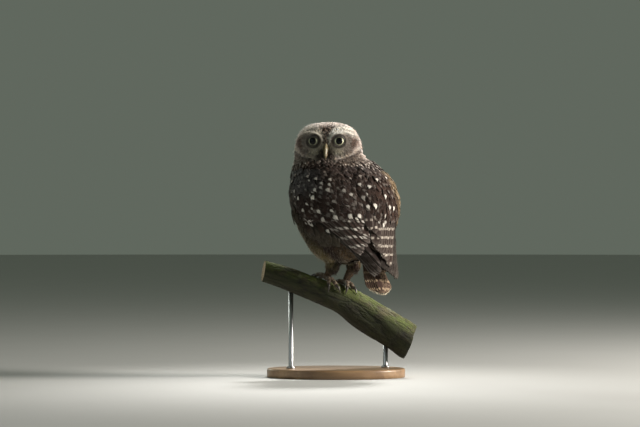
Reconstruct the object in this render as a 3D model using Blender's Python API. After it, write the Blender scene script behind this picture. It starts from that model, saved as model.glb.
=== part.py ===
"""A young little owl on a short cut branch, held by a plain display stand.

The owl stands with its back to the front of the model (-Y) and looks back over it. Lengths are in
millimetres and are turned into metres as each mesh is made. +Z is up, +X is the viewer's right, and the
origin is the centre of the stand's underside. The owl and branch are laid out from the point between the
owl's feet, FEET, and only the last step moves them there.
"""

import math

import bmesh
import bpy
import numpy as np
from mathutils import Matrix, Vector

MM = 0.001
GAP = 0.3
FEET = (6.6, 0.0, 105.0)

# Body sections, each (height, centre x, centre y, half width, back depth, belly depth).
TORSO_SECTIONS = (
    (17.5, -0.5, -5.0, 0.5, 0.5, 0.5),
    (20.0, -0.5, -5.0, 13.0, 13.0, 12.0),
    (25.0, 1.0, -5.0, 25.0, 25.0, 24.0),
    (32.0, 3.0, -5.0, 35.5, 36.0, 35.0),
    (45.0, 4.0, -3.0, 45.0, 45.0, 44.0),
    (60.0, 2.0, 0.5, 50.5, 50.0, 50.0),
    (73.0, 0.8, 3.0, 53.5, 52.0, 52.0),
    (89.0, 0.5, 4.5, 55.0, 51.5, 51.5),
    (104.0, -0.8, 6.5, 53.5, 49.0, 49.0),
    (118.0, -3.2, 9.0, 52.0, 43.0, 45.0),
    (130.0, -8.4, 11.0, 46.0, 34.0, 40.0),
    (142.0, -13.0, 12.0, 34.5, 25.0, 31.0),
    (152.0, -15.0, 12.0, 20.0, 18.0, 18.0),
)
# The surface that the wings lie on: it follows the torso above and runs on straight below, past the rump.
CARRIER_SECTIONS = (
    (-6.0, 14.5, -19.5, 39.0, 47.0, 30.0),
    (5.0, 14.0, -18.0, 40.0, 48.0, 32.0),
    (15.0, 12.0, -14.0, 41.5, 48.5, 36.0),
    (30.0, 8.5, -9.0, 44.5, 49.5, 42.0),
    (45.0, 5.0, -4.0, 48.0, 50.5, 46.0),
    (60.0, 2.0, 0.5, 52.0, 51.5, 51.0),
    (73.0, 0.8, 3.0, 54.8, 53.3, 53.0),
    (89.0, 0.5, 4.5, 56.3, 52.8, 52.8),
    (104.0, -0.8, 6.5, 54.8, 50.3, 50.3),
    (118.0, -3.2, 9.0, 53.3, 45.8, 46.3),
    (130.0, -8.4, 11.0, 47.3, 39.8, 41.3),
)
SECTION_POWER = 2.15
# The shoulders are twisted towards the viewer, the hips less.
TWIST = ((0.0, 44.0), (20.0, 41.0), (45.0, 36.0), (75.0, 26.0), (110.0, 13.0), (150.0, 10.0))
HIPS_DEG = 38.0

TORSO_RINGS = (
    17.5, 18.6, 21.0, 25.0, 31.0, 39.0, 49.0, 60.0, 71.0, 83.0, 95.0, 106.0, 116.0, 124.0, 133.0, 143.0, 152.0,
)
TORSO_SIDES = 26
NECK_LOW = 116.0
NECK_HIGH = 126.5
NECK_TILT_DEG = 5.0

# The head, about its own centre: side, forward, up.
HEAD_CENTRE = (-15.0, 11.0, 139.0)
HEAD_YAW_DEG = 6.0
HEAD_PITCH_DEG = 3.0
HEAD_HALF_WIDTH = 38.0
HEAD_FRONT = 27.0
HEAD_BACK = 33.0
HEAD_UP = 36.0
HEAD_DOWN = 27.0
HEAD_POWER = 2.55
EYE_RADIUS = 8.0
EYE_SIDE = 13.3
EYE_FORWARD = 16.8
EYE_UP = 16.5
EYE_SPLAY_DEG = 10.0
CORNEA_RADIUS = 6.0
CORNEA_RISE = 0.9
LID_RADIUS = 6.8
LID_THICK = 1.1
DISC_RADIUS = 16.0
DISC_DEPTH = 2.6

# Upper bill and lower bill: the points that their ridge and edge run through, as (forward, up).
CULMEN = ((17.0, 12.6), (24.0, 13.0), (29.0, 10.6), (32.6, 5.4), (34.0, -0.5), (33.2, -6.6))
TOMIUM = ((17.0, 4.6), (23.5, 4.4), (27.6, 2.4), (30.3, -0.8), (31.9, -3.8), (32.9, -6.6))
GONYS = ((17.0, 0.4), (22.5, -0.6), (26.2, -1.6), (28.6, -3.0), (29.7, -3.9))
BILL_HALF_WIDTHS = (3.6, 3.2, 2.7, 2.1, 1.35, 0.35)
LOWER_HALF_WIDTHS = (2.8, 2.6, 2.2, 1.5, 0.6)
NOSTRIL_RADIUS = 0.75

# Wing layout on the carrier: a is the distance round the body from the mid line of the back, and z the height.
ROUND_RADIUS = 52.0
VANE_THICK = 0.55
SHAFT_RISE = 0.3
VANE_PITCH = 1.18
# Tiers of a wing, each (feathers, roots, tips, widths, lowest edges, bows, stations along a feather).
WING_TIERS = (
    (5, ((87.0, 86.0), (72.0, 93.0)), ((15.0, 4.0), (20.5, 25.0)), (8.5, 9.0), (1.6, 1.3), (12.0, 8.0), 8),
    (6, ((67.0, 94.0), (33.0, 104.0)), ((24.0, 32.0), (6.2, 49.0)), (11.0, 11.0), (2.3, 4.2), (5.0, 0.0), 6),
    (3, ((25.0, 106.0), (12.5, 108.0)), ((13.5, 54.0), (5.7, 63.0)), (11.0, 8.0), (2.6, 5.0), (0.0, 0.0), 4),
    (6, ((86.0, 92.0), (21.0, 110.0)), ((72.0, 70.0), (10.0, 81.0)), (13.0, 12.0), (3.3, 6.2), (0.0, 0.0), 4),
    (5, ((85.0, 102.0), (35.0, 113.0)), ((77.0, 83.0), (25.0, 92.0)), (13.0, 12.5), (3.4, 7.7), (0.0, 0.0), 4),
    (4, ((37.0, 119.0), (9.0, 120.0)), ((20.0, 88.0), (6.2, 95.0)), (11.5, 8.0), (2.6, 7.8), (0.0, 0.0), 4),
)
PAD_EDGE = 0.3
PAD_POWER = 2.6
# Fleshy pads under the feathers' roots, each (middle, slope, half length, half width, height).
PADS = (
    ((57.5, 101.5), -0.25, 38.0, 16.0, 6.2),
    ((25.0, 116.0), -0.08, 20.0, 8.5, 4.6),
)

# Tail: a fan from the rump.
TAIL_ROOT = (27.0, -33.0, 38.0)
TAIL_TIP = (44.0, -53.0, -12.5)
TAIL_LATERAL_DEG = 40.0
TAIL_FEATHERS = 12
TAIL_FEATHER_WIDTH = 10.0
TAIL_SPREAD = 2.7
TAIL_PITCH = 0.85

# Branch centre line, each (x, z, half thickness).
PERCH_LINE = (
    (-86.0, 12.5, 11.2),
    (-68.0, 6.5, 11.8),
    (-50.0, -0.8, 12.8),
    (-24.0, -10.0, 14.0),
    (0.0, -20.0, 15.6),
    (21.0, -33.0, 17.6),
    (54.0, -54.5, 18.8),
    (73.0, -67.0, 20.2),
)
PERCH_YAW_DEG = 10.0
PERCH_RINGS = 27
PERCH_SIDES = 20

FOOT_LEFT = (-23.5, -3.0)
FOOT_RIGHT = (-4.0, 2.0)
TOE_CLEARANCE = 0.55
TOE_ROOT_RADIUS = 2.5
TOE_TIP_RADIUS = 1.9
CLAW_LENGTH = 8.5
# Toes, each (number, angle from straight ahead in degrees, length).
TOES = ((1, 168.0, 12.0), (2, 16.0, 14.5), (3, -14.0, 17.5), (4, -158.0, 15.5))

BASE_HALF_LENGTH = 76.0
BASE_HALF_DEPTH = 52.0
BASE_HEIGHT = 10.0
BASE_BEVEL = 2.5
BASE_SIDES = 48
ROD_RADIUS = 2.6
ROD_SIDES = 20
ROD_X = (-56.0, 48.0)
ROD_GRIP = 8.0


def smooth_table(rows):
    """A function of the first column that passes through the rows smoothly, with no overshoot."""
    table = np.array(rows, float)
    x, y = table[:, 0], table[:, 1:]
    step = np.diff(x)
    slope = np.diff(y, axis=0) / step[:, None]
    tangent = np.zeros_like(y)
    tangent[0], tangent[-1] = slope[0], slope[-1]
    before, after = slope[:-1], slope[1:]
    same_way = before * after > 0
    safe = np.where(same_way, before + after, 1.0)
    tangent[1:-1] = np.where(same_way, 2.0 * before * after / safe, 0.0)

    def value(at):
        at = min(max(at, x[0]), x[-1])
        i = min(int(np.searchsorted(x, at, side="right")) - 1, len(step) - 1)
        t = (at - x[i]) / step[i]
        h = step[i]
        return (
            y[i] * (1 + 2 * t) * (1 - t) ** 2
            + tangent[i] * h * t * (1 - t) ** 2
            + y[i + 1] * t * t * (3 - 2 * t)
            + tangent[i + 1] * h * t * t * (t - 1)
        )

    return value


torso_at = smooth_table(TORSO_SECTIONS)
carrier_at = smooth_table(CARRIER_SECTIONS)
twist_at = smooth_table(TWIST)


def section_point(section, angle, height, out):
    """A point at an angle round the body from the mid line of the back, positive to the owl's right."""
    centre_x, centre_y, half_width, back, belly = section
    side, dorsal = math.sin(angle), math.cos(angle)
    depth = back if dorsal > 0 else belly
    size = abs(side / half_width) ** SECTION_POWER + abs(dorsal / depth) ** SECTION_POWER
    radius = size ** (-1 / SECTION_POWER) + out
    turn = math.radians(twist_at(height)[0])
    u, v = radius * side, radius * dorsal
    return Vector((
        centre_x + u * math.cos(turn) + v * math.sin(turn),
        centre_y + u * math.sin(turn) - v * math.cos(turn),
        height,
    ))


def torso_point(angle, height, out=0.0):
    return section_point(torso_at(height), angle, height, out)


def carrier_point(distance, height, out):
    """A point of the wing surface, at a distance round from the back's mid line."""
    section = carrier_at(height)
    return section_point(section, distance / ROUND_RADIUS, height, out)


def make_object(name, points, faces):
    """A closed mesh object, in millimetres, with its faces turned outwards."""
    mesh = bpy.data.meshes.new(name)
    mesh.from_pydata([tuple(p) for p in points], [], faces)
    shape = bmesh.new()
    shape.from_mesh(mesh)
    bmesh.ops.recalc_face_normals(shape, faces=shape.faces)
    if shape.calc_volume(signed=True) < 0:
        bmesh.ops.reverse_faces(shape, faces=shape.faces)
    shape.to_mesh(mesh)
    shape.free()
    made = bpy.data.objects.new(name, mesh)
    bpy.context.scene.collection.objects.link(made)
    return made


def loft(name, rings, start=None, end=None):
    """A closed skin over rings of points. Each end is a pole at a given point, or a flat cap."""
    count = len(rings[0])
    points = [p for ring in rings for p in ring]
    faces = []
    for i in range(len(rings) - 1):
        for j in range(count):
            k = (j + 1) % count
            faces.append((i * count + j, i * count + k, (i + 1) * count + k, (i + 1) * count + j))
    last = (len(rings) - 1) * count
    for pole, first in ((start, 0), (end, last)):
        if pole is None:
            faces.append(tuple(range(first, first + count)))
        else:
            points.append(pole)
            tip = len(points) - 1
            faces.extend((first + j, first + (j + 1) % count, tip) for j in range(count))
    return make_object(name, points, faces)


def tube(name, path, radii, sides=8, round_start=True, round_end=True, up=(0, 0, 1), ways=(None, None)):
    """A closed tube along a path. ways may give the directions that its flat ends face along."""
    path = [Vector(p) for p in path]
    if abs((path[-1] - path[0]).normalized().dot(Vector(up).normalized())) > 0.8:
        up = (0, 1, 0)
    rings = []
    for i, centre in enumerate(path):
        ahead = (path[min(i + 1, len(path) - 1)] - path[max(i - 1, 0)]).normalized()
        if i == 0 and ways[0]:
            ahead = ways[0]
        if i == len(path) - 1 and ways[1]:
            ahead = ways[1]
        side = ahead.cross(Vector(up)).normalized()
        rise = side.cross(ahead).normalized()
        rings.append([
            centre
            + radii[i] * math.cos(math.tau * j / sides) * side
            + radii[i] * math.sin(math.tau * j / sides) * rise
            for j in range(sides)
        ])
    start = path[0] - (path[1] - path[0]).normalized() * radii[0] * 0.7 if round_start else None
    end = path[-1] + (path[-1] - path[-2]).normalized() * radii[-1] * 0.7 if round_end else None
    return loft(name, rings, start, end)


def ball(name, centre, radii, turn=None, segments=20, rings=12):
    """An ellipsoid. Its poles lie along the turned Z axis."""
    turn = turn or Matrix.Identity(3)
    centre = Vector(centre)
    hoops = []
    for i in range(1, rings):
        fall = math.pi * i / rings
        hoops.append([
            centre + turn @ Vector((
                radii[0] * math.sin(fall) * math.cos(math.tau * j / segments),
                radii[1] * math.sin(fall) * math.sin(math.tau * j / segments),
                radii[2] * math.cos(fall),
            ))
            for j in range(segments)
        ])
    top = centre + turn @ Vector((0, 0, radii[2]))
    bottom = centre - turn @ Vector((0, 0, radii[2]))
    return loft(name, hoops, top, bottom)


def torus(name, centre, turn, major, minor, segments=20, sides=6):
    """A ring about the turned Z axis."""
    points, faces = [], []
    for i in range(segments):
        around = math.tau * i / segments
        for j in range(sides):
            tilt = math.tau * (j + 0.5) / sides
            reach = major + minor * math.cos(tilt)
            points.append(Vector(centre) + turn @ Vector((
                reach * math.cos(around), reach * math.sin(around), minor * math.sin(tilt),
            )))
            k, m = (i + 1) % segments, (j + 1) % sides
            faces.append((i * sides + j, k * sides + j, k * sides + m, i * sides + m))
    return make_object(name, points, faces)


def box(name, low, high, turn=None, centre=(0, 0, 0)):
    turn = turn or Matrix.Identity(3)
    corners = [
        Vector(centre) + turn @ Vector((x, y, z))
        for x in (low[0], high[0]) for y in (low[1], high[1]) for z in (low[2], high[2])
    ]
    faces = [(0, 1, 3, 2), (4, 6, 7, 5), (0, 4, 5, 1), (2, 3, 7, 6), (0, 2, 6, 4), (1, 5, 7, 3)]
    return make_object(name, corners, faces)


def boolean(target, others, operation):
    """Joins the others to the target, or cuts them from it, in one step, and removes them."""
    group = bpy.data.collections.new("operands")
    bpy.context.scene.collection.children.link(group)
    for other in others:
        group.objects.link(other)
    change = target.modifiers.new("join", "BOOLEAN")
    change.operation = operation
    change.solver = "MANIFOLD"
    change.operand_type = "COLLECTION"
    change.collection = group
    bpy.context.view_layer.update()
    seen = target.evaluated_get(bpy.context.evaluated_depsgraph_get())
    mesh = bpy.data.meshes.new_from_object(seen)
    target.modifiers.clear()
    old = target.data
    target.data = mesh
    bpy.data.meshes.remove(old)
    for other in others:
        remove(other)
    bpy.data.collections.remove(group)
    return target


def remove(item):
    mesh = item.data
    bpy.data.objects.remove(item)
    bpy.data.meshes.remove(mesh)


def copy_of(item, name):
    made = item.copy()
    made.data = item.data.copy()
    made.name = name
    bpy.context.scene.collection.objects.link(made)
    return made


def part_shared_diagonals(shape):
    """Where two flat faces were split along the same line, splits one of them the other way."""
    for edge in [edge for edge in shape.edges if len(edge.link_faces) == 4]:
        first, *rest = edge.link_faces
        mate = max(rest, key=lambda face: face.normal.dot(first.normal))
        for one, two in ((first, mate), [face for face in rest if face is not mate]):
            u, v = edge.verts
            a = next(vert for vert in one.verts if vert not in edge.verts)
            b = next(vert for vert in two.verts if vert not in edge.verts)
            if shape.edges.get((a, b)) is None:
                order = list(one.verts)
                if order[(order.index(u) + 1) % 3] is not v:
                    u, v = v, u
                shape.faces.remove(one)
                shape.faces.remove(two)
                shape.faces.new((a, u, b))
                shape.faces.new((b, v, a))
                break


def keep_largest(item):
    """Leaves only the largest closed surface of a mesh, in triangles."""
    shape = bmesh.new()
    shape.from_mesh(item.data)
    bmesh.ops.triangulate(shape, faces=shape.faces, ngon_method="BEAUTY")
    part_shared_diagonals(shape)
    unseen = set(shape.faces)
    largest, most = [], -1.0
    while unseen:
        stack = [unseen.pop()]
        group = list(stack)
        while stack:
            for edge in stack.pop().edges:
                for face in edge.link_faces:
                    if face in unseen:
                        unseen.remove(face)
                        stack.append(face)
                        group.append(face)
        area = sum(face.calc_area() for face in group)
        if area > most:
            largest, most = group, area
    kept = set(largest)
    bmesh.ops.delete(shape, geom=[face for face in shape.faces if face not in kept], context="FACES")
    bmesh.ops.delete(shape, geom=[vert for vert in shape.verts if not vert.link_faces], context="VERTS")
    shape.normal_update()
    shape.to_mesh(item.data)
    shape.free()
    return item


def finish(item, name, material, at=FEET, sharp_deg=40.0):
    """Names a node, gives it its material and turns it into metres at its place."""
    keep_largest(item)
    item.name = name
    item.data.name = name
    item.data.transform(Matrix.Translation(at))
    item.data.transform(Matrix.Scale(MM, 4))
    item.data.materials.clear()
    item.data.materials.append(material)
    item.data.shade_smooth()
    item.data.set_sharp_from_angle(angle=math.radians(sharp_deg))
    return item


def make_material(name, colour, roughness, metallic=0.0):
    material = bpy.data.materials.new(name)
    material.use_nodes = True
    shader = material.node_tree.nodes["Principled BSDF"]
    shader.inputs["Base Color"].default_value = (*colour, 1.0)
    shader.inputs["Roughness"].default_value = roughness
    shader.inputs["Metallic"].default_value = metallic
    material.diffuse_color = (*colour, 1.0)
    return material


def head_turn():
    """The head's axes as columns: side (to the viewer's right), forward and up."""
    yaw, pitch = math.radians(HEAD_YAW_DEG), math.radians(HEAD_PITCH_DEG)
    level = Vector((-math.sin(yaw), -math.cos(yaw), 0.0))
    forward = level * math.cos(pitch) - Vector((0, 0, math.sin(pitch)))
    side = Vector((math.cos(yaw), -math.sin(yaw), 0.0))
    up = Vector((0, 0, math.cos(pitch))) + level * math.sin(pitch)
    return Matrix((side, forward, up)).transposed()


HEAD_TURN = head_turn()


def head_point(side, forward, up):
    return Vector(HEAD_CENTRE) + HEAD_TURN @ Vector((side, forward, up))


def eye_axis(way):
    """The direction that an eye looks in. way is 1 for the eye at the viewer's right, -1 at the left."""
    splay = math.radians(EYE_SPLAY_DEG) * way
    return HEAD_TURN @ Vector((math.sin(splay), math.cos(splay), 0.0))


def turn_to(direction):
    """A rotation that carries Z to a direction."""
    return Vector((0, 0, 1)).rotation_difference(Vector(direction)).to_matrix()


def head_reach(direction):
    """How far the plain head form reaches from its centre in a direction given as side, forward, up."""
    side, forward, up = direction
    depth = HEAD_FRONT if forward > 0 else HEAD_BACK
    height = HEAD_UP if up > 0 else HEAD_DOWN
    size = (
        abs(side / HEAD_HALF_WIDTH) ** HEAD_POWER
        + abs(forward / depth) ** HEAD_POWER
        + abs(up / height) ** HEAD_POWER
    )
    return size ** (-1 / HEAD_POWER)


def plain_head(segments=32, rings=18):
    """The head's form with no face, as rings round its up axis."""
    hoops = []
    for i in range(1, rings):
        fall = math.pi * i / rings
        hoop = []
        for j in range(segments):
            around = math.tau * j / segments
            way = (math.sin(fall) * math.cos(around), math.sin(fall) * math.sin(around), math.cos(fall))
            hoop.append(head_point(*(head_reach(way) * c for c in way)))
        hoops.append(hoop)
    return loft("head_form", hoops, head_point(0, 0, HEAD_UP), head_point(0, 0, -HEAD_DOWN))


def eye_centre(way):
    return head_point(way * EYE_SIDE, EYE_FORWARD, EYE_UP)


def cornea_centre(way):
    return eye_centre(way) + eye_axis(way) * (EYE_RADIUS + CORNEA_RISE - CORNEA_RADIUS)


def make_eye(way, name):
    """An eyeball with the cornea's bulge in front."""
    turn = turn_to(eye_axis(way))
    white = ball(name, eye_centre(way), (EYE_RADIUS,) * 3, turn, 16, 10)
    cornea = ball("cornea", cornea_centre(way), (CORNEA_RADIUS,) * 3, turn, 16, 9)
    return boolean(white, [cornea], "UNION")


def face_ridge(name, way, marks, radii, sink):
    """A tapered ridge on the face through marks given as side, forward, up, sunk in a little."""
    path = [head_point(way * s, f - sink, u) for s, f, u in curve_points(marks, 9)]
    thick = smooth_table(list(enumerate(radii)))
    return tube(name, path, [float(thick(i / 2)[0]) for i in range(9)], 6)


def brow(way):
    """The ridge that runs from above the bill out over an eye."""
    marks = ((2.4, 24.5, 15.5), (7.0, 24.8, 22.0), (14.0, 23.2, 25.6), (22.0, 19.5, 25.2), (29.0, 12.5, 21.5))
    return face_ridge("brow", way, marks, (2.1, 1.7, 2.3, 2.2, 0.9), 0.9)


def cheek_rim(way):
    """The rim of the facial disc below and outside an eye."""
    marks = ((5.5, 24.8, -5.5), (12.0, 24.3, -4.5), (20.0, 21.6, -1.0), (27.0, 16.4, 5.5), (30.8, 10.8, 13.5))
    return face_ridge("cheek_rim", way, marks, (1.0, 1.8, 2.0, 1.8, 0.8), 0.4)


def curve_points(marks, count):
    """Points at equal steps of a smooth curve through the marks."""
    table = smooth_table([(i, *mark) for i, mark in enumerate(marks)])
    return [Vector(table((len(marks) - 1) * i / (count - 1))) for i in range(count)]


def bill_part(name, upper, lower, widths, grow=0.0, steps=9, flat_top=False):
    """A half of the bill between an upper and a lower edge line, with a keel along its ridge."""
    over = curve_points([(f, u, 0) for f, u in upper], steps)
    under = curve_points([(f, u, 0) for f, u in lower], steps)
    wide = smooth_table([(i, w) for i, w in enumerate(widths)])
    rings = []
    for i in range(steps):
        top, low = Vector(over[i][:2]), Vector(under[i][:2])
        half = float(wide((len(widths) - 1) * i / (steps - 1))[0]) + grow
        middle = (top + low) / 2
        ray = (top - low).normalized() if (top - low).length > 1e-6 else Vector((0, 1))
        reach = (top - low).length / 2 + grow
        shape = ((0, 1), (0.55, 0.78), (0.95, 0.1), (0.9, -0.75), (0.35, -1), (-0.35, -1), (-0.9, -0.75),
                 (-0.95, 0.1), (-0.55, 0.78))
        if flat_top:
            shape = ((-0.85, 1), (0.85, 1), (0.95, 0.3), (0.6, -0.8), (0, -1), (-0.6, -0.8), (-0.95, 0.3))
        back = grow if i == 0 else 0.0
        rings.append([
            head_point(half * a, (middle + ray * reach * b)[0] - back, (middle + ray * reach * b)[1])
            for a, b in shape
        ])
    return loft(name, rings)


def upper_bill(name, grow=0.0):
    return bill_part(name, CULMEN, TOMIUM, BILL_HALF_WIDTHS, grow)


def lower_bill(name, grow=0.0):
    """The lower half, under the upper one's edge with a thin line of mouth between them."""
    marks = [(f - 0.1, u - GAP - 0.1) for f, u in TOMIUM[:5]]
    marks[-1] = (GONYS[-1][0] + 0.6, GONYS[-1][1] + 0.9)
    return bill_part(name, marks, GONYS, LOWER_HALF_WIDTHS, grow, 8, True)


def make_bill():
    upper = upper_bill("bill_upper")
    nostrils = [
        ball("nostril", head_point(way * 3.1, 25.4, 9.0), (NOSTRIL_RADIUS,) * 3, None, 8, 6) for way in (-1, 1)
    ]
    boolean(upper, nostrils, "DIFFERENCE")
    return upper, lower_bill("bill_lower")


def make_torso_form(name, grow=0.0):
    """The whole body form from belly to inside the head, grown outwards by a clearance."""
    rings = []
    for height in TORSO_RINGS[1:-1]:
        rings.append([torso_point(math.tau * j / TORSO_SIDES, height, grow) for j in range(TORSO_SIDES)])
    low, high = torso_at(TORSO_RINGS[0]), torso_at(TORSO_RINGS[-1])
    bottom = Vector((low[0], low[1], TORSO_RINGS[0] - grow))
    top = Vector((high[0], high[1], TORSO_RINGS[-1] + grow))
    return loft(name, rings, bottom, top)


def slab(name, low, high):
    """A wide block between two heights, tilted as the neck's ends are."""
    tilt = Matrix.Rotation(math.radians(NECK_TILT_DEG), 3, "X")
    return box(name, (-90, -90, low - NECK_LOW), (90, 90, high - NECK_LOW), tilt, (-6.0, 8.0, NECK_LOW))


def make_trunk():
    """Head, neck and torso, modelled whole and parted by two thin cuts."""
    head_form = plain_head()
    dishes = []
    for way in (-1, 1):
        axis = eye_axis(way)
        centre = eye_centre(way) + HEAD_TURN @ Vector((way * 1.5, 0.0, -2.0))
        hollow = DISC_RADIUS ** 2 / (2 * DISC_DEPTH) + DISC_DEPTH / 2
        front = centre + axis * (EYE_RADIUS + 0.2 + hollow)
        dishes.append(ball("dish", front, (hollow,) * 3, turn_to(-axis), 18, 24))
    boolean(head_form, dishes, "DIFFERENCE")
    added = [make_torso_form("torso_form")]
    for way in (-1, 1):
        added += [brow(way), cheek_rim(way)]
        ring_at = eye_centre(way) + eye_axis(way) * (math.sqrt(EYE_RADIUS ** 2 - LID_RADIUS ** 2) + 0.9)
        added.append(torus("lid", ring_at, turn_to(eye_axis(way)), LID_RADIUS, LID_THICK, 18, 6))
    boolean(head_form, added, "UNION")
    rooms = []
    for way in (-1, 1):
        turn = turn_to(eye_axis(way))
        rooms.append(ball("socket", eye_centre(way), (EYE_RADIUS + GAP,) * 3, turn, 18, 12))
        rooms.append(ball("cornea_room", cornea_centre(way), (CORNEA_RADIUS + GAP,) * 3, turn, 16, 10))
    boolean(head_form, rooms, "DIFFERENCE")
    boolean(head_form, [upper_bill("bill_room", GAP), lower_bill("lower_room", GAP)], "DIFFERENCE")
    neck = copy_of(head_form, "neck_form")
    torso = copy_of(head_form, "torso_part")
    boolean(head_form, [slab("above", NECK_HIGH + GAP, 230)], "INTERSECT")
    boolean(neck, [slab("between", NECK_LOW + GAP, NECK_HIGH)], "INTERSECT")
    boolean(torso, [slab("below", -60, NECK_LOW)], "INTERSECT")
    return head_form, neck, torso


def vane(name, place, half_width, thick=VANE_THICK, stations=5):
    """A closed feather blade, its two faces split alike. place(along, across, out) gives a point of it."""
    shape = smooth_table(((0.0, 0.5), (0.25, 0.85), (0.6, 1.0), (0.85, 0.88), (1.0, 0.3)))
    points, faces = [], []
    for i in range(stations):
        along = 1.0 - (1.0 - i / (stations - 1)) ** 1.4
        reach = half_width * float(shape(along)[0])
        for across in (-1, 0, 1):
            rise = SHAFT_RISE * (1 - abs(across))
            points.append(place(along, across * reach, thick / 2 + rise))
            points.append(place(along, across * reach, -thick / 2 + rise))
    for i in range(stations - 1):
        for j in range(2):
            near, far = (i * 3 + j) * 2, ((i + 1) * 3 + j) * 2
            faces += [(near, near + 2, far + 2), (near, far + 2, far)]
            faces += [(near + 1, far + 3, near + 3), (near + 1, far + 1, far + 3)]
        for edge in (0, 2):
            near, far = (i * 3 + edge) * 2, ((i + 1) * 3 + edge) * 2
            faces += [(near, far, near + 1), (far, far + 1, near + 1)]
    last = (stations - 1) * 6
    for first in (0, last):
        for j in (0, 2):
            faces += [(first + j, first + j + 2, first + j + 1), (first + j + 2, first + j + 3, first + j + 1)]
    return make_object(name, points, faces)


def between(first, last, share):
    return tuple(a + (b - a) * share for a, b in zip(first, last))


def pad_frame(distance, height, pad):
    """A spot's place on a pad: how far along it and across it, as shares of its half lengths."""
    middle, slope, half_long, half_short, _ = pad
    long_way = Vector((1.0, slope)).normalized()
    offset = Vector((distance, height)) - Vector(middle)
    return offset.dot(long_way) / half_long, offset.dot(Vector((-long_way[1], long_way[0]))) / half_short


def pad_rise(distance, height):
    """How high the pads stand over the wing surface at a spot."""
    most = 0.0
    for pad in PADS:
        along, across = pad_frame(distance, height, pad)
        share = (abs(along) ** PAD_POWER + abs(across) ** PAD_POWER) ** (1 / PAD_POWER)
        if share < 1.0:
            most = max(most, PAD_EDGE + pad[4] * (1 - share ** PAD_POWER) ** 0.8)
    return most


def wing_pad(way, pad, rings=4, sides=16):
    """A fleshy pillow under the roots of the feathers."""
    middle, slope, half_long, half_short, high = pad
    long_way = Vector((1.0, slope)).normalized()
    short_way = Vector((-long_way[1], long_way[0]))
    outer, inner = [], []
    for i in range(rings, 0, -1):
        share = i / rings
        crown = PAD_EDGE + high * (1 - share ** PAD_POWER) ** 0.8
        for store, rise in ((outer, crown), (inner, -3.0)):
            hoop = []
            for j in range(sides):
                around = math.tau * j / sides
                c, s = math.cos(around), math.sin(around)
                reach = share / (abs(c) ** PAD_POWER + abs(s) ** PAD_POWER) ** (1 / PAD_POWER)
                spot = Vector(middle) + long_way * half_long * reach * c + short_way * half_short * reach * s
                hoop.append(carrier_point(way * spot[0], spot[1], rise))
            store.append(hoop)
    crown_point = carrier_point(way * middle[0], middle[1], PAD_EDGE + high)
    base_point = carrier_point(way * middle[0], middle[1], -3.0)
    return loft("pad", inner[::-1] + outer, base_point, crown_point)


def wing_tier(way, count, roots, tips, widths, lows, bows, stations):
    """A row of a wing's feathers from the outermost in, each with its outer edge over the last.

    roots and tips give the first and last feather's ends as (distance round, height). lows is how high
    the lower edge runs over the wing surface, at the root and at the tip. bows is how far the first and
    last feather curve in towards the back's mid line.
    """
    made = []
    for i in range(count):
        share = i / (count - 1)
        root, tip = Vector(between(*roots, share)), Vector(between(*tips, share))
        half = (widths[0] + (widths[1] - widths[0]) * share) / 2
        bow = bows[0] + (bows[1] - bows[0]) * share
        run = tip - root
        aside = Vector((-run[1], run[0])).normalized()
        if aside[0] < 0:
            aside = -aside
        steps = [abs((Vector(ends[0]) - Vector(ends[1])).dot(aside)) / (count - 1) for ends in (roots, tips)]
        tilts = [min(0.34, VANE_PITCH / step) for step in steps]
        rises = [lows[0] + tilts[0] * half, lows[1] + tilts[1] * half]
        rises[0] = max(lows[0], min(rises[0], pad_rise(*root) - 1.2))

        def place(along, across, out, root=root, run=run, aside=aside, bow=bow, rises=rises, tilts=tilts):
            spot = root + run * along + aside * (across - bow * math.sin(math.pi * along))
            rise = rises[0] + (rises[1] - rises[0]) * along
            tilt = tilts[0] + (tilts[1] - tilts[0]) * along
            return carrier_point(way * spot[0], spot[1], rise + tilt * across + out)

        made.append(vane("vane", place, half, VANE_THICK, stations))
    return made


def make_wing(way, name):
    """A folded wing. way is 1 for the owl's right wing and -1 for its left."""
    arm = wing_pad(way, PADS[0])
    vanes = []
    for tier in WING_TIERS:
        vanes += wing_tier(way, *tier)
    boolean(arm, [wing_pad(way, PADS[1], 3, 12)], "UNION")
    boolean(arm, [make_torso_form("torso_room", GAP)], "DIFFERENCE")
    arm.name = name
    return boolean(arm, vanes, "UNION")


def tail_place(along, side, rise):
    """A point of the tail's fan: along from root to tip, to its side, and out from its back."""
    root, tip = Vector(TAIL_ROOT), Vector(TAIL_TIP)
    turn = math.radians(TAIL_LATERAL_DEG)
    lateral = Vector((math.cos(turn), math.sin(turn), 0.0))
    run = tip - root
    out = lateral.cross(run).normalized()
    if out.y > 0:
        out = -out
    return root + run * along + lateral * side + out * rise


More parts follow.
